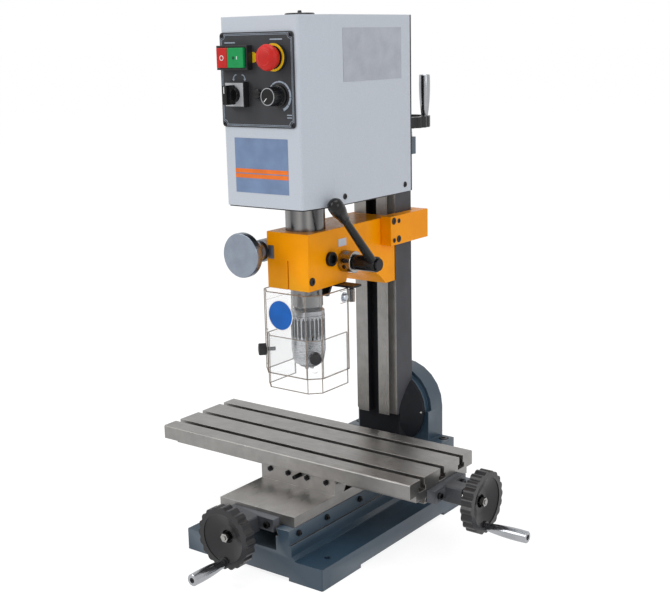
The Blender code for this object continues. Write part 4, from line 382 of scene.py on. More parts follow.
def pressed(thing, factor, test):
    """Draw the vertices that pass a test in toward the Z axis."""
    alone(thing)
    for part in (*thing.data.polygons, *thing.data.edges):
        part.select = False
    for vertex in thing.data.vertices:
        vertex.select = test(vertex.co)
    bpy.ops.object.mode_set(mode="EDIT")
    bpy.ops.mesh.select_mode(type="VERT")
    bpy.ops.transform.resize(value=(factor, factor, 1), center_override=(0, 0, 0))
    object_mode()


def dress(thing, name, body, finish, *replaces, slot=None):
    """Name a finished piece, shade it, give it its material and hang it on its body.

    The slot, the finish's usual one if none is given, is not used."""
    thing.name = name
    thing.data.name = name
    thing.data.materials.clear()
    thing.data.materials.append(finish)
    alone(thing)
    bpy.ops.object.shade_smooth_by_angle(angle=SMOOTH_ANGLE)
    apply(thing, "WEIGHTED_NORMAL", keep_sharp=True)
    if slot is None:
        slot = usual_slots[finish.name]
    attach(thing, body)
    if replaces:
        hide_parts(*replaces)
    return thing


def rework(node, name, body, finish, edge, segments=2, slot=None):
    """Replace a CAD node by a copy with clean merged faces and softened edges."""
    thing = copied(node + "_finish", nodes[node].data)
    edit_all(thing)
    bpy.ops.mesh.remove_doubles(threshold=MERGE)
    bpy.ops.mesh.dissolve_limited(angle_limit=math.radians(0.5))
    object_mode()
    if edge:
        soften(thing, edge, segments)
    return dress(thing, name, body, finish, node, slot=slot)


def second_finish(thing, finish, test):
    """Give the faces that pass a test of centre and normal another material."""
    thing.data.materials.append(finish)
    index = len(thing.data.materials) - 1
    for polygon in thing.data.polygons:
        if test(polygon.center, polygon.normal):
            polygon.material_index = index


def arc_points(centre, radius, start, end, steps):
    points = []
    for n in range(steps + 1):
        angle = math.radians(start + (end - start) * n / steps)
        points.append((centre[0] + radius * math.cos(angle), centre[1] + radius * math.sin(angle)))
    return points


def box_points(left, right, bottom, top):
    return [(left, bottom), (right, bottom), (right, top), (left, top)]


def band_points(centre, inner, outer, start, end, steps):
    """A curved bar between two radii."""
    return arc_points(centre, outer, start, end, steps) + arc_points(centre, inner, end, start, steps)


# Materials

TONE_STOPS = (0.35, 0.65)
NOISE_RANGE = (0.3, 0.7)
WORN_RANGE = (0.57, 0.69)
EVEN = (1, 1, 1)


def wire(tree, node, inputs):
    """Give a shader node's inputs values, or links from other nodes' outputs."""
    for socket, value in inputs.items():
        if isinstance(value, bpy.types.NodeSocket):
            tree.links.new(value, node.inputs[socket])
        else:
            node.inputs[socket].default_value = value


def added(tree, kind, inputs, output, **options):
    """Add a shader node, wire its inputs and return one of its outputs."""
    node = tree.nodes.new("ShaderNode" + kind)
    for name, value in options.items():
        setattr(node, name, value)
    wire(tree, node, inputs)
    return node.outputs[output]


def ranged(tree, value, source, target=(0, 1)):
    """Stretch a value from one range to another."""
    return added(tree, "MapRange", {"Value": value, "From Min": source[0], "From Max": source[1],
                                    "To Min": target[0], "To Max": target[1]}, "Result")


def shader_of(name):
    """A new material, its node tree and its main shader."""
    material = bpy.data.materials.new(name)
    material.use_nodes = True
    return material, material.node_tree, material.node_tree.nodes["Principled BSDF"]


def noise_on(tree, scale, stretch=EVEN, detail=4.0):
    """Noise in object coordinates, in grains to the metre, stretched along the axes."""
    place = added(tree, "TexCoord", {}, "Object")
    mapped = added(tree, "Mapping", {"Vector": place, "Scale": stretch}, "Vector")
    return added(tree, "TexNoise", {"Vector": mapped, "Scale": scale, "Detail": detail,
                                    "Roughness": 0.55}, "Fac")


def shifted(colour, factor):
    return tuple(min(1.0, channel * factor) for channel in colour)


def finish_of(name, slot, tones, tone_noise, gloss, gloss_noise, bump=0.0, bump_noise=None, worn=None,
              **levels):
    """A material whose colour, roughness and bump each follow a noise of their own.

    The colour wanders between two tones and the roughness between two levels. A worn colour shows on
    the sharpest edges. The levels go to the main shader's inputs of the same name."""
    material, tree, shader = shader_of(name)
    ramp = tree.nodes.new("ShaderNodeValToRGB")
    for stop, position, tone in zip(ramp.color_ramp.elements, TONE_STOPS, tones):
        stop.position = position
        stop.color = (*tone, 1)
    tree.links.new(noise_on(tree, *tone_noise), ramp.inputs["Fac"])
    colour = ramp.outputs["Color"]
    if worn:
        sharpness = added(tree, "NewGeometry", {}, "Pointiness")
        edge = ranged(tree, sharpness, WORN_RANGE)
        colour = added(tree, "Mix", {"Factor": edge, "A": colour, "B": (*worn, 1)}, "Result",
                       data_type="RGBA")
    rough = ranged(tree, noise_on(tree, *gloss_noise), NOISE_RANGE, gloss)
    wire(tree, shader, {"Base Color": colour, "Roughness": rough})
    if bump:
        grain = added(tree, "Bump", {"Height": noise_on(tree, *bump_noise), "Strength": 1.0,
                                     "Distance": bump}, "Normal")
        wire(tree, shader, {"Normal": grain})
    wire(tree, shader, {socket.replace("_", " "): level for socket, level in levels.items()})
    usual_slots[material.name] = slot
    return material


def enamel(name, slot, colour, roughness, peel, worn, coat=0.0, shine=0.5):
    """Brushed or sprayed paint over a casting: slight colour drift, orange peel and worn edges."""
    return finish_of(name, slot, (shifted(colour, 0.90), shifted(colour, 1.10)), (14,),
                     (roughness * 0.85, roughness * 1.2), (60,), peel, (420, EVEN, 2.0), worn,
                     Specular_IOR_Level=shine, Coat_Weight=coat, Coat_Roughness=0.12)


def powder(name, slot, colour, roughness):
    """Fine-textured powder coat."""
    return finish_of(name, slot, (shifted(colour, 0.95), shifted(colour, 1.04)), (900, EVEN, 3.0),
                     (roughness * 0.9, roughness * 1.1), (30,), 0.00006, (1500, EVEN, 2.0))


def machined(name, slot, colour, roughness, stretch, scratch=0.00002, spots=1.06):
    """Ground or turned metal: fine marks run along the axis that is stretched least."""
    marks = (900, stretch, 3.0)
    return finish_of(name, slot, (shifted(colour, 0.90), shifted(colour, spots)), (55, EVEN, 5.0),
                     (roughness * 0.75, roughness * 1.3), marks, scratch, marks, Metallic=1.0)


def steel_with_painted_reflections(name, slot, light, dark, roughness):
    """Turned steel whose colour runs in long light and dark bands down its sides, painted reflections
    of the surroundings; its roughness and fine marks are its own.
    """
    streaks = (900, (0.02, 0.02, 1), 2.0)
    # Light and dark tones in long bands along the Z axis: painted reflections on the round steel
    return finish_of(name, slot, (dark, light), (70, (1, 1, 0.02), 1.0),
                     (roughness * 0.8, roughness * 1.3), streaks, 0.000005, streaks, Metallic=1.0)


def moulded(name, slot, colour, roughness, grain=0.00003, coat=0.0, shine=0.25):
    """Moulded plastic, rubber or flat print with a fine skin."""
    return finish_of(name, slot, (shifted(colour, 0.88), shifted(colour, 1.12)), (35,),
                     (roughness * 0.85, roughness * 1.15), (140,), grain, (2200, EVEN, 2.0),
                     Specular_IOR_Level=shine, Coat_Weight=coat, Coat_Roughness=0.08)


def clear(name, slot, tint, alpha, roughness):
    """Clear guard sheet, faintly marked by use."""
    return finish_of(name, slot, (shifted(tint, 0.96), tint), (40,),
                     (roughness * 0.7, roughness * 1.4), (260,), Alpha=alpha, Specular_IOR_Level=0.8)


class Palette:
    """The machine's finishes, made once from the settings."""

    def __init__(self, colours):
        steel = tuple(colours.steel)
        black = tuple(colours.black_plastic)
        thin = 0.000005
        self.base = enamel("base enamel", "base_paint", tuple(colours.cast_blue), 0.36, 0.00010,
                           (0.09, 0.12, 0.15), coat=0.10)
        self.cast_grey = enamel("feed bracket enamel", "base_paint", (0.040, 0.043, 0.050), 0.42,
                                0.00025, (0.14, 0.15, 0.17))
        self.orange = enamel("orange enamel", "cast_orange", tuple(colours.cast_orange), 0.30, 0.00009,
                             (0.92, 0.40, 0.01), shine=0.12)
        self.cover = powder("cover powder coat", "cover_paint", tuple(colours.cover_grey), 0.46)
        # The quill and the chuck get banded steel whose light and dark bands are painted reflections
        self.quill = steel_with_painted_reflections("polished quill", "bright_steel", (0.25, 0.245, 0.24),
                              (0.040, 0.040, 0.044), 0.20)
        self.chuck = steel_with_painted_reflections("chuck steel", "ground_steel", (0.42, 0.43, 0.45), (0.10, 0.104, 0.115),
                              0.24)
        self.clear = clear("clear sheet", "clear_plastic", (0.86, 0.90, 0.93), 0.06, 0.05)
        # Brown tint of the clear sheet's cut edges, also used for the painted shade lines down its
        # bends
        self.edge_tint_and_bend_shade = clear("sheet edge", "clear_plastic", (0.26, 0.20, 0.15), 0.80, 0.20)
        metals = {
            "table": ("ground table", "ground_steel", steel, 0.36, (0.05, 1, 1)),
            "saddle": ("ground saddle", "ground_steel", shifted(steel, 0.92), 0.40, (1, 0.05, 1)),
            # The saddle's front tops: its steel made 1.45 times lighter, a painted highlight where they
            # face the light
            "slide": ("ground slide top", "ground_steel", shifted(steel, 1.45), 0.36, (1, 0.05, 1)),
            "ways": ("ground column", "ground_steel", shifted(steel, 0.95), 0.33, (1, 1, 0.04)),
            "turned": ("turned steel", "bright_steel", shifted(steel, 1.25), 0.24, (0.2, 0.2, 1),
                       0.00001),
            # Near black steel in the grip grooves of the chuck's sleeve: painted shade in the recesses
            "flute": ("chuck flutes", "ground_steel", (0.016, 0.016, 0.018), 0.30, (1, 1, 0.1), thin),
            "zinc": ("zinc plate", "bright_steel", (0.50, 0.53, 0.58), 0.25, EVEN, 0.000004, 1.02),
            "chrome": ("satin chrome", "bright_steel", (0.36, 0.37, 0.39), 0.20, EVEN, 0.000002, 1.02),
            "label": ("label foil", "bright_steel", (0.40, 0.42, 0.47), 0.34, EVEN, 0.000004, 1.02),
            "alloy": ("knob alloy", "knob_alloy", (0.25, 0.285, 0.34), 0.34, (1, 0.1, 1), 0.00001),
            "blacked": ("blacked steel", "black_oxide", (0.030, 0.030, 0.033), 0.38, EVEN, 0.00001),
            "bronze": ("nut bronze", "bronze", (0.55, 0.36, 0.14), 0.35, EVEN),
        }
        plastics = {
            "panel": ("panel print", "panel_black", tuple(colours.panel_charcoal), 0.55),
            "plastic": ("black plastic", "dark_plastic", black, 0.34, 0.00003, 0.15),
            "gloss": ("gloss black", "dark_plastic", shifted(black, 0.45), 0.16, 0.00001),
            "rubber": ("belt rubber", "dark_plastic", (0.014, 0.014, 0.014), 0.75),
            "fuse": ("fuse cap black", "dark_plastic", (0.016, 0.016, 0.017), 0.30),
            "bench_grey": ("painted column side", "ground_steel", (0.046, 0.047, 0.055), 0.42),
            "groove": ("column groove", "ground_steel", (0.012, 0.013, 0.016), 0.55, 0.00003, 0, 0.10),
            "red": ("signal red", "button_red", (0.52, 0.014, 0.010), 0.42),
            "worn_red": ("moulded arrows", "button_red", (0.60, 0.045, 0.035), 0.45),
            "green": ("signal green", "button_green", (0.003, 0.270, 0.070), 0.42),
            "dark_green": ("lamp green", "button_green", (0.002, 0.070, 0.024), 0.30, thin),
            "yellow": ("signal yellow", "button_red", (0.850, 0.560, 0.010), 0.38),
            "white": ("white print", "bright_steel", (0.80, 0.80, 0.80), 0.50, thin),
            "pale": ("pale plate", "bright_steel", (0.46, 0.47, 0.49), 0.45, thin),
            "print": ("pale print", "bright_steel", (0.36, 0.42, 0.50), 0.50, thin),
            "ink": ("black print", "dark_plastic", (0.012, 0.012, 0.012), 0.50, thin),
            "blue_label": ("blue grey label", "dark_plastic", (0.165, 0.235, 0.380), 0.50, thin),
            "orange_label": ("orange label band", "cast_orange", (0.760, 0.170, 0.020), 0.50, thin),
            "sticker": ("blue sticker", "clear_plastic", (0.003, 0.105, 0.430), 0.45, thin),
        }
        for maker, rows in ((machined, metals), (moulded, plastics)):
            for attribute, values in rows.items():
                setattr(self, attribute, maker(*values))


# Small hardware

def cap_screw(radius, height):
    """A socket head with a hexagonal recess, its seat at the origin and its top along +Z."""
    head = drum(Matrix(), 0, height, radius, HEAD, edge=radius * 0.12)
    return carve(head, drum(Matrix(), height * 0.35, height * 1.5, radius * 0.5, HEX))


def button_screw(radius, height):
    """A domed head with a hexagonal recess."""
    head = spun([(0, 0), (radius, 0), (radius, height * 0.25), (radius * 0.85, height * 0.7),
                 (radius * 0.5, height), (0, height)], sides=HEAD)
    return carve(head, drum(Matrix(), height * 0.3, height * 1.5, radius * 0.42, HEX))


def nut_and_stud(radius, height):
    """A locknut with the end of its set screw standing proud."""
    nut = drum(Matrix(), 0, height, radius, HEX, edge=radius * 0.08)
    weld(nut, drum(Matrix(), height * 0.5, height * 1.7, radius * 0.52, SMALL, edge=radius * 0.08))
    return carve(nut, drum(Matrix(), height * 1.2, height * 2, radius * 0.28, HEX))


def fasten(pattern, places, name, body, finish=None):
    """Copies of one fastener at several places, kept as one piece and blacked if no finish is given."""
    copies = [twin(pattern, place) for place in places]
    bpy.data.objects.remove(pattern, do_unlink=True)
    return dress(joined(copies), name, body, finish or palette.blacked)


def feed_bracket(sizes, node, side, body, middle, across, out):
    """A cast feed bracket and the two screws through its plate."""
    rework(node, side + "_feed_bracket", body, palette.cast_grey, sizes.casting_edge, 3)
    places = spots(out, [middle + across * 0.0270 * way for way in (-1, 1)])
    fasten(cap_screw(sizes.cap_screw_radius, 0.0040), places, side + "_bracket_screws", body)


class DrillMillOperator(bpy.types.Operator):
    """Shared options of the operators that build pieces."""

    bl_options = {"REGISTER", "UNDO"}


class DRILLMILL_OT_finishes(bpy.types.Operator):
    """Make the machine's materials from the colour settings"""

    bl_idname = "drillmill.finishes"
    bl_label = "Finishes"

    def execute(self, context):
        global palette
        palette = Palette(context.scene.drill_mill_finishes)
        return {"FINISHED"}


class DRILLMILL_OT_base(DrillMillOperator):
    """Build the base casting with its set screws and the upright bolted on it"""

    bl_idname = "drillmill.base"
    bl_label = "Base"

    def execute(self, context):
        sizes = context.scene.drill_mill_sizes
        casting = rework("base_casting", "base_casting_painted", "base", palette.base,
                         sizes.casting_edge, 3)
        ledge_z, way_inside, way_outside, way_end = 0.0456, 0.0380, 0.0410, 0.1495
        second_finish(casting, palette.saddle,
                      lambda centre, normal: centre.z > ledge_z and abs(centre.x) > way_inside
                      and centre.y < way_end and (normal.z > 0.5 or abs(centre.x) < way_outside))
        rework("tilt_upright", "tilt_upright_painted", "base", palette.base, sizes.casting_edge, 3)
        flange_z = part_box("tilt_upright")[0].z + 0.0139
        fasten(cap_screw(0.0062, 0.0065), spots(UP, [(x, 0.174, flange_z) for x in (-0.070, 0.070)]),
               "upright_bolts", "base")
        wall, row_z = 0.0593, 0.0560
        fasten(nut_and_stud(0.0040, 0.0026),
               spots(RIGHT, [(wall, y, row_z) for y in (-0.1396, -0.0838, -0.0143)]),
               "base_gib_screws", "base")
        return {"FINISHED"}


class DRILLMILL_OT_cross_slide(DrillMillOperator):
    """Build the saddle with its gib screws and the front feed bracket"""

    bl_idname = "drillmill.cross_slide"
    bl_label = "Cross slide"

    def execute(self, context):
        sizes = context.scene.drill_mill_sizes
        body = "saddle_body"
        saddle = rework("saddle", "saddle_ground", body, palette.saddle, sizes.machined_edge)
        wall, row_z = -0.0650, 0.0918
        # Up-facing faces at the front take the lighter steel, a painted highlight on the tops
        second_finish(saddle, palette.slide, lambda centre, normal: normal.z > 0.9 and centre.y < wall)
        fasten(nut_and_stud(0.0038, 0.0022),
               spots(FRONT, [(x, wall, row_z) for x in (-0.0439, -0.0147, 0.0156, 0.0458)]),
               "saddle_gib_screws", body)
        place = aim((0.0050, wall, 0.0938), FRONT)
        lock = drum(place, 0, 0.0135, 0.0028, SMALL, edge=0.0004)
        carve(lock, drum(place, 0.0110, 0.0150, 0.0015, HEX))
        dress(lock, "saddle_lock", body, palette.blacked)
        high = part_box("y_bracket")[1]
        middle = Vector((0, high.y - BRACKET_PLATE, (high.z + 0.0572) / 2))
        feed_bracket(sizes, "y_bracket", "front", body, middle, RIGHT, FRONT)
        return {"FINISHED"}


class DRILLMILL_OT_table(DrillMillOperator):
    """Build the slotted table and the right feed bracket"""

    bl_idname = "drillmill.table"
    bl_label = "Table"

    def execute(self, context):
        sizes = context.scene.drill_mill_sizes
        rework("table", "table_ground", "table_body", palette.table, sizes.machined_edge)
        low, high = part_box("x_bracket")
        middle = Vector((low.x + BRACKET_PLATE, 0, (high.z + low.z) / 2 + 0.0030))
        feed_bracket(sizes, "x_bracket", "right", "table_body", middle, BACK, RIGHT)
        return {"FINISHED"}


class DRILLMILL_OT_feeds(DrillMillOperator):
    """Build the graduated dials, the handwheels and their turning handles"""

    bl_idname = "drillmill.feeds"
    bl_label = "Feeds"

    def execute(self, context):
        wheel = self.wheel()
        dial = self.dial()
        marks = self.dial_marks()
        handle = self.handle()
        faces = {
            "y": aim((0, -0.1801, 0.0587), FRONT, -UP),
            "x": aim((0.2086, 0, 0.0868), RIGHT, -UP),
            "z": aim((0, 0.1815, 0.4980), UP, (0.8, 0.6, 0)),
        }
        for letter, face in faces.items():
            body, handle_body = letter + "_feed", letter + "_handle_body"
            dress(twin(wheel, face), letter + "_wheel_lobed", body, palette.plastic,
                  letter + "_handwheel")
            dress(twin(dial, face), letter + "_dial_ring", body, palette.turned, letter + "_dial")
            dress(twin(marks, face), letter + "_dial_marks", body, palette.ink)
            dress(twin(handle, face), letter + "_handle_chromed", handle_body, palette.chrome,
                  letter + "_handle")
            grip = face @ aim((CRANK_RADIUS, 0, 0), UP)
            screw = drum(grip, 0.0802, 0.0814, 0.0030, SMALL, edge=0.0002)
            carve(screw, settle(block((-0.0005, -0.0040, 0.0808), (0.0005, 0.0040, 0.0830)), grip))
            dress(screw, letter + "_handle_screw", handle_body, palette.blacked)
            node = letter + "_feed_screw"
            dress(self.screw(node, face), node + "_threaded", body, palette.turned, node)
        for pattern in (wheel, dial, marks, handle):
            bpy.data.objects.remove(pattern, do_unlink=True)
        return {"FINISHED"}

    def screw(self, node, face):
        """A feed screw with its thread, and the nut that holds the wheel."""
        axis, origin = face.col[2].xyz, face.translation
        foot, end = sorted((corner - origin).dot(axis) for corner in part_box(node))
        crest, root, pitch, thread_end = 0.0050, 0.0044, 0.002, -0.040
        points = [(0, foot)]
        level = foot + 0.001
        while level < thread_end:
            points += [(crest, level), (crest, level + 0.0008), (root, level + 0.0011),
                       (root, level + 0.0017)]
            level += pitch
        points += [(crest, level), (crest, end - 0.0042), (0, end - 0.0042)]
        nut = drum(face, end - 0.0042, end - 0.0014, 0.0058, HEX, edge=0.0004)
        stud = drum(face, end - 0.0020, end, 0.0030, SMALL, edge=0.0006)
        return joined([spun(points, face, sides=SMALL), nut, stud])

    def wheel(self):
        """A handwheel with a scalloped rim, a dished face, a hub and a boss for the handle."""
        foot, top = 0.0096, 0.0276
        rim_foot = top - 0.0145
        floor = top - 0.0085
        radius, scallop = 0.0384, 0.0022
        lobes, steps = 20, 10
        wheel = drum(Matrix(), rim_foot, top, radius, lobes * steps)
        for step in range(1, steps):
            share = ((1 - math.cos(2 * math.pi * step / steps)) / 2) ** 1.6
            pressed(wheel, 1 - scallop * share / radius,
                    lambda place: step_of(place, lobes * steps) % steps == step)
        carve(wheel, spun([(0, top + 0.002), (0.0302, top + 0.002), (0.0302, top - 0.0016),
                           (0.0293, top - 0.0022), (0.0150, floor), (0, floor)], sides=FINE))
        carve(wheel, spun([(0.0300, rim_foot - 0.002), (0.0290, rim_foot + 0.0020),
                           (0.0130, rim_foot + 0.0020), (0.0130, rim_foot - 0.002),
                           (0.0300, rim_foot - 0.002)], sides=FINE))
        weld(wheel, drum(Matrix(), foot, floor - 0.0002, 0.0118))
        boss = aim((CRANK_RADIUS, 0, 0), UP)
        weld(wheel, drum(boss, rim_foot + 0.0001, top - 0.0006, 0.0066, MEDIUM))
        for place, low, bore in ((Matrix(), foot - 0.001, 0.0052), (Matrix(), floor - 0.0045, 0.0082),
                                 (boss, top - 0.0085, 0.0033)):
            carve(wheel, drum(place, low, top + 0.001, bore, HEAD))
        return soften(wheel, 0.0007, 3)

    def dial(self):
        """The graduated ring between bracket and wheel, with a groove at the wheel's side."""
        foot, top = 0.0003, 0.0093
        return spun([(0.0053, foot), (0.0136, foot), (0.0140, foot + 0.0004),
                     (0.0140, top - 0.0030), (0.0134, top - 0.0026), (0.0134, top - 0.0022),
                     (0.0139, top - 0.0018), (0.0139, top - 0.0003), (0.0136, top), (0.0053, top),
                     (0.0053, foot)], sides=FINE)

    def dial_marks(self):
        """Forty graduations, every fifth one long, and the numbers beside the long ones."""
        foot, radius = 0.0005, 0.0140
        things = []
        for half, length, count in ((0.00009, 0.0016, 40), (0.00011, 0.0025, 8)):
            mark = block((radius - PRINT, -half, foot), (radius + PRINT, half, foot + length))
            things.append(repeated(mark, count))
        for number in range(8):
            angle = 2 * math.pi * number / 8
            out = Vector((math.cos(angle), math.sin(angle), 0))
            place = aim(out * radius + UP * (foot + 0.0040), out, UP.cross(out))
            things.append(lettering(str(number * 5), 0.0022, place))
        return joined(things)

    def handle(self):
        """A turning handle: shouldered foot, swelling grip and a flat end with a recess."""
        foot, length, steps = 0.0279, 0.0540, 20
        profile = [(0, foot - 0.0080), (0.0029, foot - 0.0080), (0.0029, foot), (0.0046, foot)]
        for step in range(steps + 1):
            share = step / steps
            swell = 0.0046 + 0.0029 * (1 - (1 - min(1.0, share * 1.25)) ** 2.2)
            profile.append((swell - 0.0003 * max(0.0, share - 0.8) / 0.2,
                            foot + 0.0006 + (length - 0.0014) * share))
        end = foot + length
        profile += [(0.0064, end), (0.0034, end), (0.0034, end - 0.0012), (0, end - 0.0012)]
        return spun(profile, aim((CRANK_RADIUS, 0, 0), UP), sides=MEDIUM)


class DRILLMILL_OT_column(DrillMillOperator):
    """Build the tilting column, its bolt and the height screw's bearing"""

    bl_idname = "drillmill.column"
    bl_label = "Column"

    def execute(self, context):
        sizes = context.scene.drill_mill_sizes
        body = "column_body"
        column = rework("column", "column_ground", body, palette.ways, sizes.machined_edge)
        side_y, disc_radius, groove_half = 0.1148, 0.0545, 0.0083
        second_finish(column, palette.bench_grey,
                      lambda centre, normal: centre.z > 0.127 and centre.y > side_y
                      and abs(normal.z) < 0.5)
        second_finish(column, palette.groove,
                      lambda centre, normal: centre.y > 0.1175
                      and math.hypot(centre.x, centre.z - TILT_Z) < disc_radius)
        second_finish(column, palette.groove,
                      lambda centre, normal: abs(centre.x) < groove_half and centre.y < 0.1166
                      and 0.1285 < centre.z < 0.4995)
        bolt = drum(aim((0, 0.1305, TILT_Z), BACK), 0, 0.0765, 0.0080, MEDIUM, edge=0.0008)
        dress(bolt, "tilt_bolt_turned", body, palette.blacked, "tilt_bolt")
        self.angle_scale(body)
        rework("tilt_nut", "tilt_nut_chamfered", body, palette.blacked, 0.0006)
        rework("z_bearing", "height_screw_bearing", body, palette.base, sizes.casting_edge, 3)
        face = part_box("z_bearing")[1].y
        fasten(cap_screw(0.0036, 0.0034), spots(BACK, [(x, face, 0.4865) for x in (-0.0105, 0.0105)]),
               "height_bearing_screws", body)
        return {"FINISHED"}

    def angle_scale(self, body):
        """A curved degree strip on the rim of the tilt disc, and the disc's small screw."""
        rim, width, count = 0.0538, 0.0040, 16
        face = rim + FOIL
        start, sweep = math.radians(21), math.radians(31)
        place = aim((0, 0.1512, TILT_Z), FRONT)
        strip = ring(rim, face, 0, width, sides=24, turn=sweep)
        edit_all(strip)
        bpy.ops.mesh.fill_holes(sides=8)
        closed(strip, place @ Matrix.Rotation(-start - sweep, 4, "Z"))
        dress(strip, "angle_scale_strip", body, palette.zinc)
        marks = []
        for number in range(count):
            length = 0.0030 if number % 5 == 0 else 0.0018
            mark = block((face, -0.00012, width - length), (face + PRINT, 0.00012, width))
            angle = -start - sweep * (number + 0.5) / count
            marks.append(settle(mark, place @ Matrix.Rotation(angle, 4, "Z")))
        dress(joined(marks), "angle_scale_marks", body, palette.ink)
        fasten(button_screw(0.0016, 0.0009), [aim((0.0520, 0.1440, TILT_Z), (0.81, -0.58, 0))],
               "disc_screw", body, palette.turned)


class DRILLMILL_OT_head_bracket(DrillMillOperator):
    """Build the orange head bracket, its arm to the height screw and the worm housing"""

    bl_idname = "drillmill.head_bracket"
    bl_label = "Head bracket"

    def execute(self, context):
        sizes = context.scene.drill_mill_sizes
        body = "head_body"
        edge = sizes.casting_edge
        rework("head_bracket", "head_bracket_painted", body, palette.orange, edge, 3)
        rework("z_nut_arm", "height_arm_painted", body, palette.orange, edge, 3)
        rework("z_feed_nut", "height_nut_bronze", body, palette.bronze, 0.0006)
        rework("worm_housing", "worm_housing_painted", body, palette.cover, 0.0012, 3)
        low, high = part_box("head_bracket")
        front, side, arm_side = low.y, high.x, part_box("z_nut_arm")[1].x
        for radius, height, name, x, points in (
                (0.0046, 0.0008, "arm_screws", arm_side, ((0.0879, 0.3988), (0.0991, 0.3742))),
                (0.0031, 0.0008, "arm_pins", arm_side, ((0.0995, 0.3977), (0.0884, 0.3736))),
                (0.0052, 0.0014, "quill_clamp_screw", side, ((-0.0650, 0.3447),))):
            places = spots(RIGHT, [(x, y, z) for y, z in points])
            fasten(cap_screw(radius, height), places, name, body)
        plug = spun([(0, 0), (0.0090, 0), (0.0090, 0.0044), (0.0082, 0.0052), (0.0052, 0.0052),
                     (0.0050, 0.0020), (0, 0.0020)], aim((side, -0.0281, 0.3668), RIGHT), sides=MEDIUM)
        dress(plug, "rack_plug", body, palette.blacked)
        label = block((side, -0.0105, 0.3790), (side + FOIL, 0.0060, 0.3885))
        dress(label, "bracket_label_side", body, palette.label)
        plate = block((-0.0298, front - FOIL, 0.3690), (-0.0208, front, 0.3855))
        dress(plate, "bracket_label_front", body, palette.label)
        return {"FINISHED"}


class DRILLMILL_OT_lever(DrillMillOperator):
    """Build the pinion collar, the feed lever and its grip"""

    bl_idname = "drillmill.lever"
    bl_label = "Feed lever"

    def execute(self, context):
        body = "lever_body"
        across = aim((0, 0, PINION_Z), RIGHT, BACK)
        collar = spun([(0.0084, 0.0150), (0.0121, 0.0150), (0.0121, 0.0321), (0.0130, 0.0321),
                       (0.0136, 0.0327), (0.0136, 0.0497), (0.0130, 0.0503), (0.0084, 0.0503),
                       (0.0084, 0.0150)], across, sides=FINE)
        dress(collar, "pinion_collar", "head_body", palette.turned, "pinion_bush")
        toward = Vector((0, -0.94, -0.34))
        place = aim(Vector((0.0415, 0, PINION_Z)) + toward * 0.0134, toward)
        fasten(cap_screw(0.0026, 0.0010), [place], "collar_set_screw", "head_body")

        slope = math.radians(46.6)
        arm_place = aim((0.0780, 0, PINION_Z), FRONT * math.cos(slope) + UP * math.sin(slope))
        lever = spun([(0.0062, 0.0506), (0.0090, 0.0506), (0.0097, 0.0513), (0.0097, 0.0822),
                      (0.0090, 0.0829), (0.0062, 0.0829), (0.0062, 0.0506)], across)
        weld(lever, spun([(0, 0.0080), (0.0058, 0.0080), (0.0046, 0.0830), (0.0046, 0.0995),
                          (0, 0.0995)], arm_place, sides=MEDIUM))
        soften(lever, 0.0006, 3, math.radians(50))
        dress(lever, "feed_lever_black", body, palette.gloss, "feed_lever")

        steps, dome_steps = 24, 8
        neck, full, shoulder, dome = 0.0063, 0.0095, 0.0866, 0.1116
        grip = [(0.0050, 0.0860), (0.0060, 0.0860), (neck, shoulder)]
        for step in range(1, steps + 1):
            share = step / steps
            swell = (1 - math.cos(math.pi * min(1.0, share * 1.25))) / 2
            grip.append((neck + 0.0032 * swell, shoulder + 0.0250 * share))
        for step in range(1, dome_steps + 1):
            angle = math.pi / 2 * step / dome_steps
            grip.append((full * math.cos(angle), dome + 0.0089 * math.sin(angle)))
        grip += [(0, 0.1016), (0.0050, 0.1016), (0.0050, 0.0860)]
        dress(spun(grip, arm_place), "lever_grip_black", body, palette.gloss, "lever_grip")
        cap = drum(across, 0.0834, 0.0859, 0.0056, MEDIUM, edge=0.0006)
        carve(cap, drum(across, 0.0848, 0.0870, 0.0028, HEX))
        dress(cap, "lever_end_screw", body, palette.blacked)
        return {"FINISHED"}


class DRILLMILL_OT_fine_feed(DrillMillOperator):
    """Build the cone-shaped fine feed knob on its worm shaft"""

    bl_idname = "drillmill.fine_feed"
    bl_label = "Fine feed"

    def execute(self, context):
        axis = aim((-0.0420, 0, PINION_Z + 0.0170), FRONT)
        knob = spun([(0, -0.0120), (0.0045, -0.0120), (0.0045, 0.0280), (0.0040, 0.0280),
                     (0.0040, 0.0720), (0.0128, 0.0720), (0.0132, 0.0724), (0.0132, 0.0762),
                     (0.0126, 0.0766), (0.0126, 0.0778), (0.0132, 0.0782), (0.0132, 0.0802),
                     (0.0126, 0.0806), (0.0126, 0.0818), (0.0132, 0.0822), (0.0132, 0.0847),
                     (0.0160, 0.0850), (0.0165, 0.0875), (0.0190, 0.0920), (0.0240, 0.0975),
                     (0.0268, 0.1000), (0.0273, 0.1010), (0.0273, 0.1080), (0.0267, 0.1090),
                     (0.0254, 0.1095), (0.0200, 0.1092), (0, 0.1090)], axis, sides=FINE)
        dress(knob, "fine_feed_knob_satin", "fine_feed_body", palette.alloy, "fine_feed_knob")
        second_finish(knob, palette.blacked, lambda centre, normal: -0.0765 < centre.y < -0.0700)
        return {"FINISHED"}


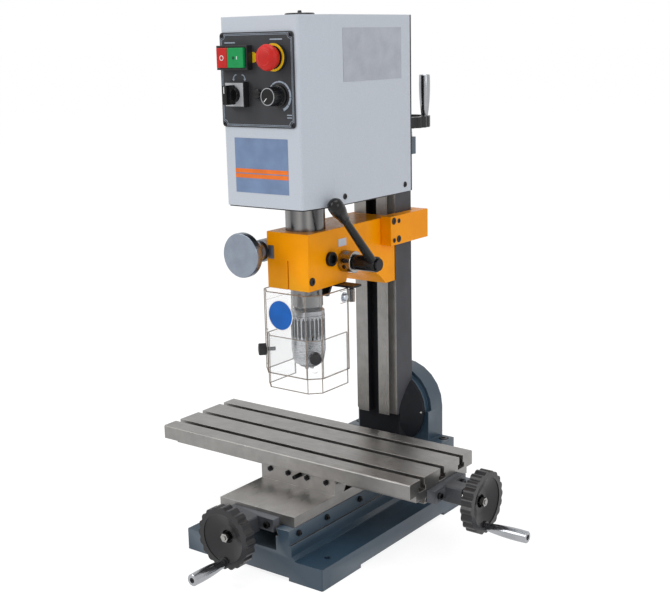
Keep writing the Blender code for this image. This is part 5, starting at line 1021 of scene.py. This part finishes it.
class DRILLMILL_OT_quill(DrillMillOperator):
    """Build the quill sleeve and the plate that closes the head below"""

    bl_idname = "drillmill.quill"
    bl_label = "Quill"

    def execute(self, context):
        axis = aim((0, SPINDLE.y, 0), UP)
        sleeve = spun([(0.0160, 0.3343), (0.0241, 0.3343), (0.0245, 0.3347), (0.0245, 0.4334),
                       (0.0262, 0.4338), (0.0262, 0.4416), (0.0245, 0.4417), (0.0245, 0.4423),
                       (0.0310, 0.4423), (0.0310, 0.4463), (0.0160, 0.4463), (0.0160, 0.3343)],
                      axis, sides=FINE)
        carve(sleeve, block((-0.0145, -0.0122, 0.3323), (0.0145, 0, 0.4040)))
        # The quill's light and dark bands are painted reflections
        dress(sleeve, "quill_sleeve_ground", "quill_body", palette.quill, "quill_sleeve")
        rework("head_plate", "head_plate_black", "quill_body", palette.blacked, 0.0004)
        return {"FINISHED"}


class DRILLMILL_OT_cover(DrillMillOperator):
    """Build the sheet head cover with its back, access cap, screws and labels"""

    bl_idname = "drillmill.cover"
    bl_label = "Head cover"

    def execute(self, context):
        sizes = context.scene.drill_mill_sizes
        body = "quill_body"
        rework("head_cover", "head_cover_powder_coated", body, palette.cover, sizes.sheet_edge)
        rework("cover_back", "cover_back_black", body, palette.blacked, sizes.sheet_edge)
        seat = COVER_HIGH.z + FOIL
        cap = spun([(0, seat - 0.0030), (0.0145, seat - 0.0030), (0.0145, seat), (0.0178, seat),
                    (0.0178, seat + 0.0022), (0.0168, seat + 0.0032), (0.0026, seat + 0.0032),
                    (0.0024, seat + 0.0054), (0.0018, seat + 0.0062), (0, seat + 0.0062)],
                   aim((0, SPINDLE.y, 0), UP), sides=FINE)
        dress(cap, "access_cap_black", body, palette.plastic, "access_cap")
        places = []
        for x, out in ((COVER_LOW.x, -RIGHT), (COVER_HIGH.x, RIGHT)):
            places += spots(out, [(x, y, 0.4475) for y in (-0.0433, 0.0855)])
        fasten(button_screw(0.0036, 0.0016), places, "cover_screws", body)
        # A plain two-colour plate under the panel
        face = aim((0, COVER_LOW.y, 0), FRONT)
        left, right, bottom, top = -0.0417, 0.0380, 0.4548, 0.5185
        backing = slab(box_points(left, right, bottom, top), face, FOIL)
        dress(backing, "cover_front_label", body, palette.blue_label)
        bands = [slab(box_points(left, right, low, high), face @ lifted(FOIL))
                 for low, high in ((0.4720, 0.4768), (0.4780, 0.4828))]
        dress(joined(bands), "cover_front_label_bands", body, palette.orange_label)
        plate = slab(box_points(-0.0420, 0.0790, 0.5800, 0.6410),
                     aim((COVER_HIGH.x, 0, 0), RIGHT, BACK), FOIL)
        dress(plate, "cover_side_label", body, palette.label)
        return {"FINISHED"}


class DRILLMILL_OT_panel(DrillMillOperator):
    """Build the switch panel and the marks printed on it"""

    bl_idname = "drillmill.panel"
    bl_label = "Control panel"

    def execute(self, context):
        body = "quill_body"
        panel = rework("control_panel", "control_panel_plate", body, palette.panel, 0.0003)
        second_finish(panel, palette.plastic, lambda centre, normal: centre.y < PANEL_FACE - 0.0002)
        face = on_panel(0, 0)
        dress(joined(self.borders(face)), "panel_border_lines", body, palette.print)
        dress(joined(self.scales(face)), "panel_scale_marks", body, palette.print)
        dot = drum(on_panel(-0.0073, 0.6103), 0, 0.0002, 0.0059, MEDIUM)
        dress(dot, "panel_yellow_disc", body, palette.yellow)
        collar = ring(0.0130, 0.0155, 0.0062, 0.0068, on_panel(*EMERGENCY_CENTRE))
        dress(collar, "emergency_yellow_ring", body, palette.yellow)
        places = [on_panel(x, z) for z in (0.6350, 0.5346) for x in (-0.0540, 0.0480)]
        fasten(button_screw(0.0026, 0.0013), places, "panel_screws", body)
        return {"FINISHED"}

    def borders(self, face):
        """Two pale lines that step in round the corner screws."""
        notch = 0.0052
        lines = []
        for inset in (0.0016, 0.0030):
            left, right = PANEL_LOW.x + inset, PANEL_HIGH.x - inset
            bottom, top = 0.5310 + inset, 0.6385 - inset
            points = [(left + notch, bottom), (right - notch, bottom)]
            points += arc_points((right, bottom), notch, 180, 90, 4)[1:]
            points += arc_points((right, top), notch, 270, 180, 4)
            points += arc_points((left, top), notch, 0, -90, 4)
            points += arc_points((left, bottom), notch, 90, 0, 4)[:-1]
            lines.append(line_frame(points, 0.0004, face))
        return lines

    def scales(self, face):
        """The speed scale, the selector's arrows and the small plain marks."""
        radius, thinnest, pace, gap = 0.0150, 0.0008, 33, 2
        outlines = []
        for number in range(9):
            start = 225 - number * pace
            width = thinnest + 0.00026 * number
            outlines.append(band_points(SPEED_CENTRE, radius, radius + width, start,
                                        start - pace + gap, 6))
        arrow_z = 0.5862
        for side, end in ((-1, 180), (1, 0)):
            middle = (SELECTOR_X + side * 0.0040, arrow_z)
            outlines.append(band_points(middle, 0.0040, 0.0052, 90, end, 8))
            tip = middle[0] + side * 0.0046
            outlines.append([(tip - 0.0020, arrow_z), (tip, 0.5834), (tip + 0.0020, arrow_z)][::side])
        for stroke in ((-0.0500, -0.0340, 0.6262, 0.6276), (0.0180, 0.0360, 0.6292, 0.6306),
                       (0.0400, 0.0470, 0.5425, 0.5435), (0.0400, 0.0470, 0.5455, 0.5465)):
            outlines.append(box_points(*stroke))
        return [slab(outline, face) for outline in outlines]


class DRILLMILL_OT_switches(DrillMillOperator):
    """Build the buttons, the emergency stop, the selector, the fuse cap and the speed knob"""

    bl_idname = "drillmill.switches"
    bl_label = "Switches"

    def execute(self, context):
        for node, body, finish in (("stop_button", "stop_body", palette.red),
                                   ("start_button", "start_body", palette.green)):
            dress(block(*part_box(node), 0.0008, 3), node + "_key", body, finish, node)
        low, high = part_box("start_button")
        middle = (low + high) / 2
        bar = block((middle.x + 0.0020, low.y - PRINT, middle.z - 0.0018),
                    (middle.x + 0.0030, low.y, middle.z + 0.0018))
        dress(bar, "start_mark", "start_body", palette.white)
        lamp = drum(aim((middle.x - 0.0026, low.y, middle.z), FRONT), 0, PRINT, 0.0019, HEAD)
        dress(lamp, "start_lamp", "start_body", palette.dark_green)
        low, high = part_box("stop_button")
        middle = (low + high) / 2
        circle = ring(0.0022, 0.0030, 0, PRINT, aim((middle.x, low.y, middle.z), FRONT), MEDIUM)
        dress(circle, "stop_mark", "stop_body", palette.white)
        self.emergency_stop()
        self.selector()
        self.speed_knob()
        cap = spun([(0, 0.0045), (0.0060, 0.0045), (0.0062, 0.0048), (0.0052, 0.0062),
                    (0.0030, 0.0064), (0, 0.0064)], on_panel(-0.0012, 0.5695), sides=MEDIUM)
        carve(cap, block((-0.0072, -0.1230, 0.5690), (0.0048, -0.1186, 0.5700)))
        dress(cap, "fuse_cap_slotted", "quill_body", palette.fuse)
        return {"FINISHED"}

    def emergency_stop(self):
        axis = on_panel(*EMERGENCY_CENTRE)
        front = PANEL_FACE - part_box("emergency_stop")[0].y
        mushroom = spun([(0, front - 0.0194), (0.0085, front - 0.0194), (0.0085, front - 0.0141),
                         (0.0122, front - 0.0140), (0.0136, front - 0.0096), (0.0147, front - 0.0076),
                         (0.0147, front - 0.0056), (0.0134, front - 0.0026), (0.0105, front - 0.0008),
                         (0.0050, front), (0, front)], axis, sides=FINE)
        dress(mushroom, "emergency_mushroom", "emergency_body", palette.red, "emergency_stop")
        arrows = [slab(band_points((0, 0), 0.0078, 0.0086, start, start + 70, 8),
                       axis @ lifted(front - 0.0005), 0.0003) for start in (20, 140, 260)]
        dress(joined(arrows), "emergency_arrows", "emergency_body", palette.worn_red)

    def selector(self):
        low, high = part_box("direction_selector")
        middle = (low + high) / 2
        axis = aim((middle.x, high.y, middle.z), FRONT)
        knob = spun([(0, 0), (0.0085, 0), (0.0085, 0.0036), (0.0078, 0.0046), (0, 0.0050)], axis)
        weld(knob, block((middle.x - 0.0032, low.y, low.z),
                         (middle.x + 0.0032, high.y - 0.0010, high.z), 0.0011, 3))
        dress(knob, "selector_knob", "selector_body", palette.gloss, "direction_selector")
        line = block((middle.x - 0.0005, low.y - PRINT, middle.z + 0.0020),
                     (middle.x + 0.0005, low.y, high.z - 0.0014))
        dress(line, "selector_pointer", "selector_body", palette.white)
        plate = slab(box_points(-0.0430, -0.0160, 0.5554, 0.5820),
                     aim((0, PANEL_FACE - 0.0095, 0), FRONT), 0.0002)
        carve(plate, drum(axis, -0.002, 0.002, 0.0088))
        dress(plate, "selector_plate", "quill_body", palette.pale)

    def speed_knob(self):
        axis = on_panel(*SPEED_CENTRE)
        knob = spun([(0, 0.0003), (0.0120, 0.0003), (0.0125, 0.0008), (0.0125, 0.0034),
                     (0.0118, 0.0040), (0.0112, 0.0042), (0.0106, 0.0200), (0.0100, 0.0207),
                     (0.0088, 0.0207), (0.0086, 0.0203), (0, 0.0203)], sides=FINE)
        pressed(knob, RIB_FACTOR, lambda place: 0.0041 < place.z < 0.0201 and place.xy.length > 0.0103
                and step_of(place, FINE) % 4 == 0)
        settle(knob, axis)
        dress(knob, "speed_knob_ribbed", "speed_body", palette.gloss, "speed_knob")
        dress(ring(0.0088, 0.0099, 0.0205, 0.0209, axis), "speed_knob_ring", "speed_body",
              palette.chrome)
        turned = axis @ Matrix.Rotation(math.radians(135), 4, "Z")
        line = slab(box_points(-0.0004, 0.0004, 0.0025, 0.0084), turned @ lifted(0.0203), 0.0002)
        dress(line, "speed_knob_line", "speed_body", palette.white)


class DRILLMILL_OT_chuck(DrillMillOperator):
    """Build the spindle nose, the drill chuck and its fluted sleeve"""

    bl_idname = "drillmill.chuck"
    bl_label = "Chuck"

    def execute(self, context):
        sizes = context.scene.drill_mill_sizes
        axis = aim((0, SPINDLE.y, 0), UP)
        collar = spun([(0, 0.2883), (0.0080, 0.2883), (0.0080, 0.3063), (0.0188, 0.3063),
                       (0.0195, 0.3070), (0.0195, 0.3290), (0.0188, 0.3337), (0.0156, 0.3337),
                       (0.0156, 0.3503), (0.0120, 0.3503), (0.0120, 0.4300), (0.0156, 0.4300),
                       (0.0156, 0.4490), (0.0345, 0.4490), (0.0345, 0.4515), (0.0295, 0.4515),
                       (0.0295, 0.4605), (0.0345, 0.4605), (0.0345, 0.4630), (0.0070, 0.4630),
                       (0.0070, 0.6320), (0, 0.6320)], axis, sides=FINE)
        hole = drum(aim((0, SPINDLE.y, 0.3235), (0.70, -0.71, 0)), 0.0140, 0.0220, 0.0032, SMALL)
        carve(collar, hole)
        # The spindle nose takes the quill's steel, with its painted reflection bands
        dress(collar, "spindle_nose_turned", "spindle_body", palette.quill, "spindle",
              slot="ground_steel")

        body = spun([(0.0050, 0.2620), (0.0050, 0.2290), (0.0104, 0.2290), (0.0115, 0.2296),
                     (0.0163, 0.2345), (0.0163, 0.2960), (0.0208, 0.2960), (0.0211, 0.2966),
                     (0.0211, 0.3006), (0.0208, 0.3015), (0.0140, 0.3057), (0.0084, 0.3057),
                     (0.0084, 0.2878), (0, 0.2878), (0, 0.2620), (0.0050, 0.2620)], axis, sides=FINE)
        # The chuck's light and dark bands are painted reflections
        dress(body, "chuck_body_ground", "spindle_body", palette.chuck, "drill_chuck")

        radius = CHUCK_RADIUS
        sleeve = spun([(0.0167, 0.2340), (0.0178, 0.2340), (0.0184, 0.2344), (0.0200, 0.2422),
                       (0.0212, 0.2492), (radius, 0.2504), (radius, 0.2660), (radius, 0.2690),
                       (radius, 0.2910), (radius, 0.2935), (radius, 0.2953), (0.0211, 0.2957),
                       (0.0167, 0.2957), (0.0167, 0.2340)], sides=CHUCK_STEPS)
        pressed(sleeve, 1 - sizes.flute_depth / radius,
                lambda place: 0.2685 < place.z < 0.2915 and place.xy.length > radius - MERGE
                and step_of(place, CHUCK_STEPS) % 6 in (2, 3, 4))
        settle(sleeve, axis)
        dress(sleeve, "chuck_sleeve_fluted", "chuck_sleeve_body", palette.chuck, "chuck_sleeve")
        # Faces down in the grooves get near black steel: painted shade in the grooves
        floor = radius - sizes.flute_depth * 0.3
        second_finish(sleeve, palette.flute,
                      lambda centre, normal: 0.2655 < centre.z < 0.2940
                      and 0.0185 < (centre - Vector((0, SPINDLE.y, centre.z))).length < floor)
        for number in "123":
            rework("chuck_jaw_" + number, "jaw_ground_" + number, "jaw_body_" + number, palette.chuck,
                   0.0002, slot="bright_steel")
        return {"FINISHED"}


class DRILLMILL_OT_guard(DrillMillOperator):
    """Build the clear chip guard, its bracket, thumb screws and sticker"""

    bl_idname = "drillmill.guard"
    bl_label = "Chip guard"

    def execute(self, context):
        body = "guard_body"
        rework("guard_bracket", "guard_bracket_black", "head_body", palette.blacked, 0.0004)
        for node, sheet_body, inset, wall, foot, top in (
                ("guard_outer", body, 0, 0.0020, 0.2250, 0.3290),
                ("guard_inner", "inner_guard_body", 0.0026, 0.0015, 0.2060, 0.2730)):
            sheet = rework(node, node + "_clear", sheet_body, palette.clear, 0.0002, 1)
            # The sheet's cut edges show its own brown edge tint
            second_finish(sheet, palette.edge_tint_and_bend_shade,
                          lambda centre, normal: abs(normal.z) > 0.6 or centre.y > GUARD_REAR - PRINT)
            # Dark brown lines down the bends are painted shade; those along the upper and lower edges
            # carry the edge tint
            lines = self.edge_lines(inset, wall, foot, top)
            dress(joined(lines), node + "_bend_shade_lines", sheet_body, palette.edge_tint_and_bend_shade)
        for side, sign in (("left", -1), ("right", 1)):
            knob = self.thumb_screw(aim((sign * 0.0378, -0.0711, 0.2530), (sign, -1, 0), UP))
            dress(knob, "guard_thumb_screw_" + side, "guard_screw_body_" + side, palette.plastic,
                  "guard_screw_" + side)
        spot = aim((-0.0079, GUARD_FRONT, 0.3012), FRONT)
        rim = drum(spot, 0, 0.0002, 0.0190)
        dress(rim, "guard_sticker_rim", body, palette.white, slot="clear_plastic")
        dress(drum(spot, 0.0002, 0.0004, 0.0180), "guard_sticker", body, palette.sticker)
        place = aim((GUARD_SIDE, -0.0219, 0.3196), RIGHT)
        washer = ring(0.0028, 0.0062, 0.0024, 0.0032, place, MEDIUM)
        head = spun([(0, 0.0030), (0.0044, 0.0030), (0.0044, 0.0052), (0.0034, 0.0062), (0, 0.0064)],
                    place, sides=HEAD)
        dress(joined([washer, head]), "guard_hinge_bolt", body, palette.zinc)
        return {"FINISHED"}

    def edge_lines(self, inset, wall, foot, top):
        """Brown lines along the sheet's bends and its upper and lower edges: those along the edges
        carry the sheet's own edge tint, and those down the bends are painted shade.
        """
        skin, half = 0.0002, 0.0004
        outline = self.sheet_path(inset - skin) + self.sheet_path(inset + wall + skin)[::-1]
        lines = [slab(outline, lifted(level), 0.0007) for level in (foot + 0.0001, top - 0.0008)]
        path = self.sheet_path(inset)
        for x, y in path[1:-1]:
            lines.append(block((x - half, y - half, foot + 0.0008), (x + half, y + half, top - 0.0008)))
        for x, y in path[::5]:
            lines.append(block((x - half, y - 2 * half, foot + 0.0008), (x + half, y, top - 0.0008)))
        return lines

    def sheet_path(self, inset):
        """The sheet's outline seen from above, moved in by an inset."""
        share = inset * math.tan(math.radians(22.5))
        side, front, half_front = GUARD_SIDE - inset, GUARD_FRONT + inset, 0.0306 - share
        corner = -0.0639 + share
        return [(side, GUARD_REAR), (side, corner), (half_front, front),
                (-half_front, front), (-side, corner), (-side, GUARD_REAR)]

    def thumb_screw(self, place):
        knob = spun([(0, -0.0110), (0.0025, -0.0110), (0.0025, 0.0003), (0.0068, 0.0003),
                     (0.0075, 0.0010), (0.0075, 0.0092), (0.0066, 0.0104), (0.0030, 0.0110),
                     (0, 0.0110)], sides=FINE)
        pressed(knob, RIB_FACTOR, lambda spot: 0.0005 < spot.z < 0.0100 and spot.xy.length > 0.0070
                and step_of(spot, FINE) % 2 == 0)
        return settle(knob, place)


class DRILLMILL_OT_inner_works(DrillMillOperator):
    """Give the machine's inner pieces, which keep their CAD meshes, their materials"""

    bl_idname = "drillmill.inner_works"
    bl_label = "Inner works"

    def execute(self, context):
        finishes = {
            "y_gib": palette.saddle,
            "x_gib": palette.table,
            "y_feed_nut": palette.bronze,
            "x_feed_nut": palette.bronze,
            "pinion_shaft": palette.blacked,
            "motor": palette.plastic,
            "motor_pulley": palette.turned,
            "drive_belt": palette.rubber,
        }
        for node, finish in finishes.items():
            nodes[node].data.materials.clear()
            nodes[node].data.materials.append(finish)
        return {"FINISHED"}


class DRILLMILL_OT_stage(bpy.types.Operator):
    """Set the pale floor, the soft lamps and the camera"""

    bl_idname = "drillmill.stage"
    bl_label = "Stage"

    def execute(self, context):
        lights = context.scene.drill_mill_lights
        self.camera(context.scene)
        self.surround(context.scene, lights.sky_level)
        self.floor()
        self.lamp("key lamp", (-1.5, -2.3, 2.1), 1.8, lights.key_power)
        self.lamp("fill lamp", (2.6, -0.9, 1.3), 1.8, lights.fill_power)
        self.lamp("top lamp", (0.2, -0.1, 2.8), 1.6, lights.top_power)
        context.scene.view_settings.view_transform = "Standard"
        return {"FINISHED"}

    def camera(self, scene):
        """The photograph's camera, its centre shifted as in the photograph."""
        nothing_selected()
        bpy.ops.object.camera_add()
        camera = bpy.context.object
        camera.name = "photo view"
        back = Vector((math.sin(VIEW_YAW) * math.cos(VIEW_PITCH),
                       -math.cos(VIEW_YAW) * math.cos(VIEW_PITCH), math.sin(VIEW_PITCH)))
        right = Vector((math.cos(VIEW_YAW), math.sin(VIEW_YAW), 0))
        up = back.cross(right)
        across = right * math.cos(VIEW_ROLL) + up * math.sin(VIEW_ROLL)
        upward = up * math.cos(VIEW_ROLL) - right * math.sin(VIEW_ROLL)
        turned = Matrix((across, upward, back)).transposed().to_4x4()
        camera.matrix_world = Matrix.Translation(VIEW_PLACE) @ turned
        width, height = IMAGE_SIZE
        camera.data.sensor_width = 36
        camera.data.lens = VIEW_FOCAL_PIXELS / width * camera.data.sensor_width
        camera.data.shift_x = (width / 2 - VIEW_CENTRE[0]) / width
        camera.data.shift_y = (VIEW_CENTRE[1] - height / 2) / width
        camera.data.clip_end = 200
        scene.camera = camera

    def seen_directly(self, tree):
        """1 where a camera, mirror or see-through ray looks, else 0."""
        share = 0.0
        for kind in ("Camera", "Glossy", "Transmission"):
            ray = added(tree, "LightPath", {}, "Is " + kind + " Ray")
            share = added(tree, "Math", {0: share, 1: ray}, "Value", operation="MAXIMUM")
        return share

    def surround(self, scene, level):
        """White where it is seen directly, and an even light of this level elsewhere."""
        world = bpy.data.worlds.new("white surround")
        scene.world = world
        world.use_nodes = True
        tree = world.node_tree
        strength = added(tree, "Mix", {"Factor": self.seen_directly(tree), "A": level, "B": 1.0},
                         "Result")
        wire(tree, tree.nodes["Background"], {"Color": (1, 1, 1, 1), "Strength": strength})

    def floor(self):
        """A pale matt floor that glows a little, so that it fades into the surround."""
        nothing_selected()
        bpy.ops.mesh.primitive_circle_add(vertices=96, radius=60, fill_type="NGON",
                                          location=(0, 0, -0.0002))
        floor = bpy.context.object
        floor.name = "studio floor"
        material, tree, shader = shader_of("white floor")
        wire(tree, shader, {"Base Color": (0.92, 0.92, 0.92, 1), "Roughness": 0.9,
                            "Specular IOR Level": 0.0})
        glow = added(tree, "Emission", {"Strength": 1.19}, "Emission")
        share = added(tree, "Math", {0: self.seen_directly(tree), 1: 0.72}, "Value",
                      operation="MULTIPLY")
        mixed = added(tree, "MixShader", {"Fac": share, 1: shader.outputs["BSDF"], 2: glow}, "Shader")
        wire(tree, tree.nodes["Material Output"], {"Surface": mixed})
        floor.data.materials.append(material)

    def lamp(self, name, place, size, power):
        nothing_selected()
        bpy.ops.object.light_add(type="AREA", location=place)
        lamp = bpy.context.object
        lamp.name = name
        target = Vector((0, 0, 0.3))
        lamp.rotation_euler = (Vector(place) - target).to_track_quat("Z", "Y").to_euler()
        lamp.data.shape = "DISK"
        lamp.data.size = size
        lamp.data.energy = power


class DRILLMILL_PT_panel(bpy.types.Panel):
    """Lists the operators and settings of the finish"""

    bl_idname = "DRILLMILL_PT_panel"
    bl_label = "Drill mill finish"
    bl_space_type = "VIEW_3D"
    bl_region_type = "UI"
    bl_category = "Drill Mill"

    def draw(self, context):
        layout = self.layout
        for operator in BUILD_ORDER:
            layout.operator(operator.bl_idname)
        for group in (context.scene.drill_mill_finishes, context.scene.drill_mill_sizes,
                      context.scene.drill_mill_lights):
            box = layout.box()
            for name in group.bl_rna.properties.keys():
                if name not in {"rna_type", "name"}:
                    box.prop(group, name)


BUILD_ORDER = (
    DRILLMILL_OT_stage,
    DRILLMILL_OT_finishes,
    DRILLMILL_OT_base,
    DRILLMILL_OT_cross_slide,
    DRILLMILL_OT_table,
    DRILLMILL_OT_feeds,
    DRILLMILL_OT_column,
    DRILLMILL_OT_head_bracket,
    DRILLMILL_OT_lever,
    DRILLMILL_OT_fine_feed,
    DRILLMILL_OT_quill,
    DRILLMILL_OT_cover,
    DRILLMILL_OT_panel,
    DRILLMILL_OT_switches,
    DRILLMILL_OT_chuck,
    DRILLMILL_OT_guard,
    DRILLMILL_OT_inner_works,
)
SETTINGS = {
    "drill_mill_finishes": DrillMillFinishes,
    "drill_mill_sizes": DrillMillSizes,
    "drill_mill_lights": DrillMillLights,
}


def register():
    for group in SETTINGS.values():
        bpy.utils.register_class(group)
    for operator in BUILD_ORDER:
        bpy.utils.register_class(operator)
    bpy.utils.register_class(DRILLMILL_PT_panel)
    for name, group in SETTINGS.items():
        setattr(bpy.types.Scene, name, bpy.props.PointerProperty(type=group))


def unregister():
    for name in SETTINGS:
        delattr(bpy.types.Scene, name)
    bpy.utils.unregister_class(DRILLMILL_PT_panel)
    for operator in reversed(BUILD_ORDER):
        bpy.utils.unregister_class(operator)
    for group in SETTINGS.values():
        bpy.utils.unregister_class(group)


def main():
    register()
    for operator in BUILD_ORDER:
        group, name = operator.bl_idname.split(".")
        getattr(getattr(bpy.ops, group), name)()


if __name__ == "__main__":
    main()
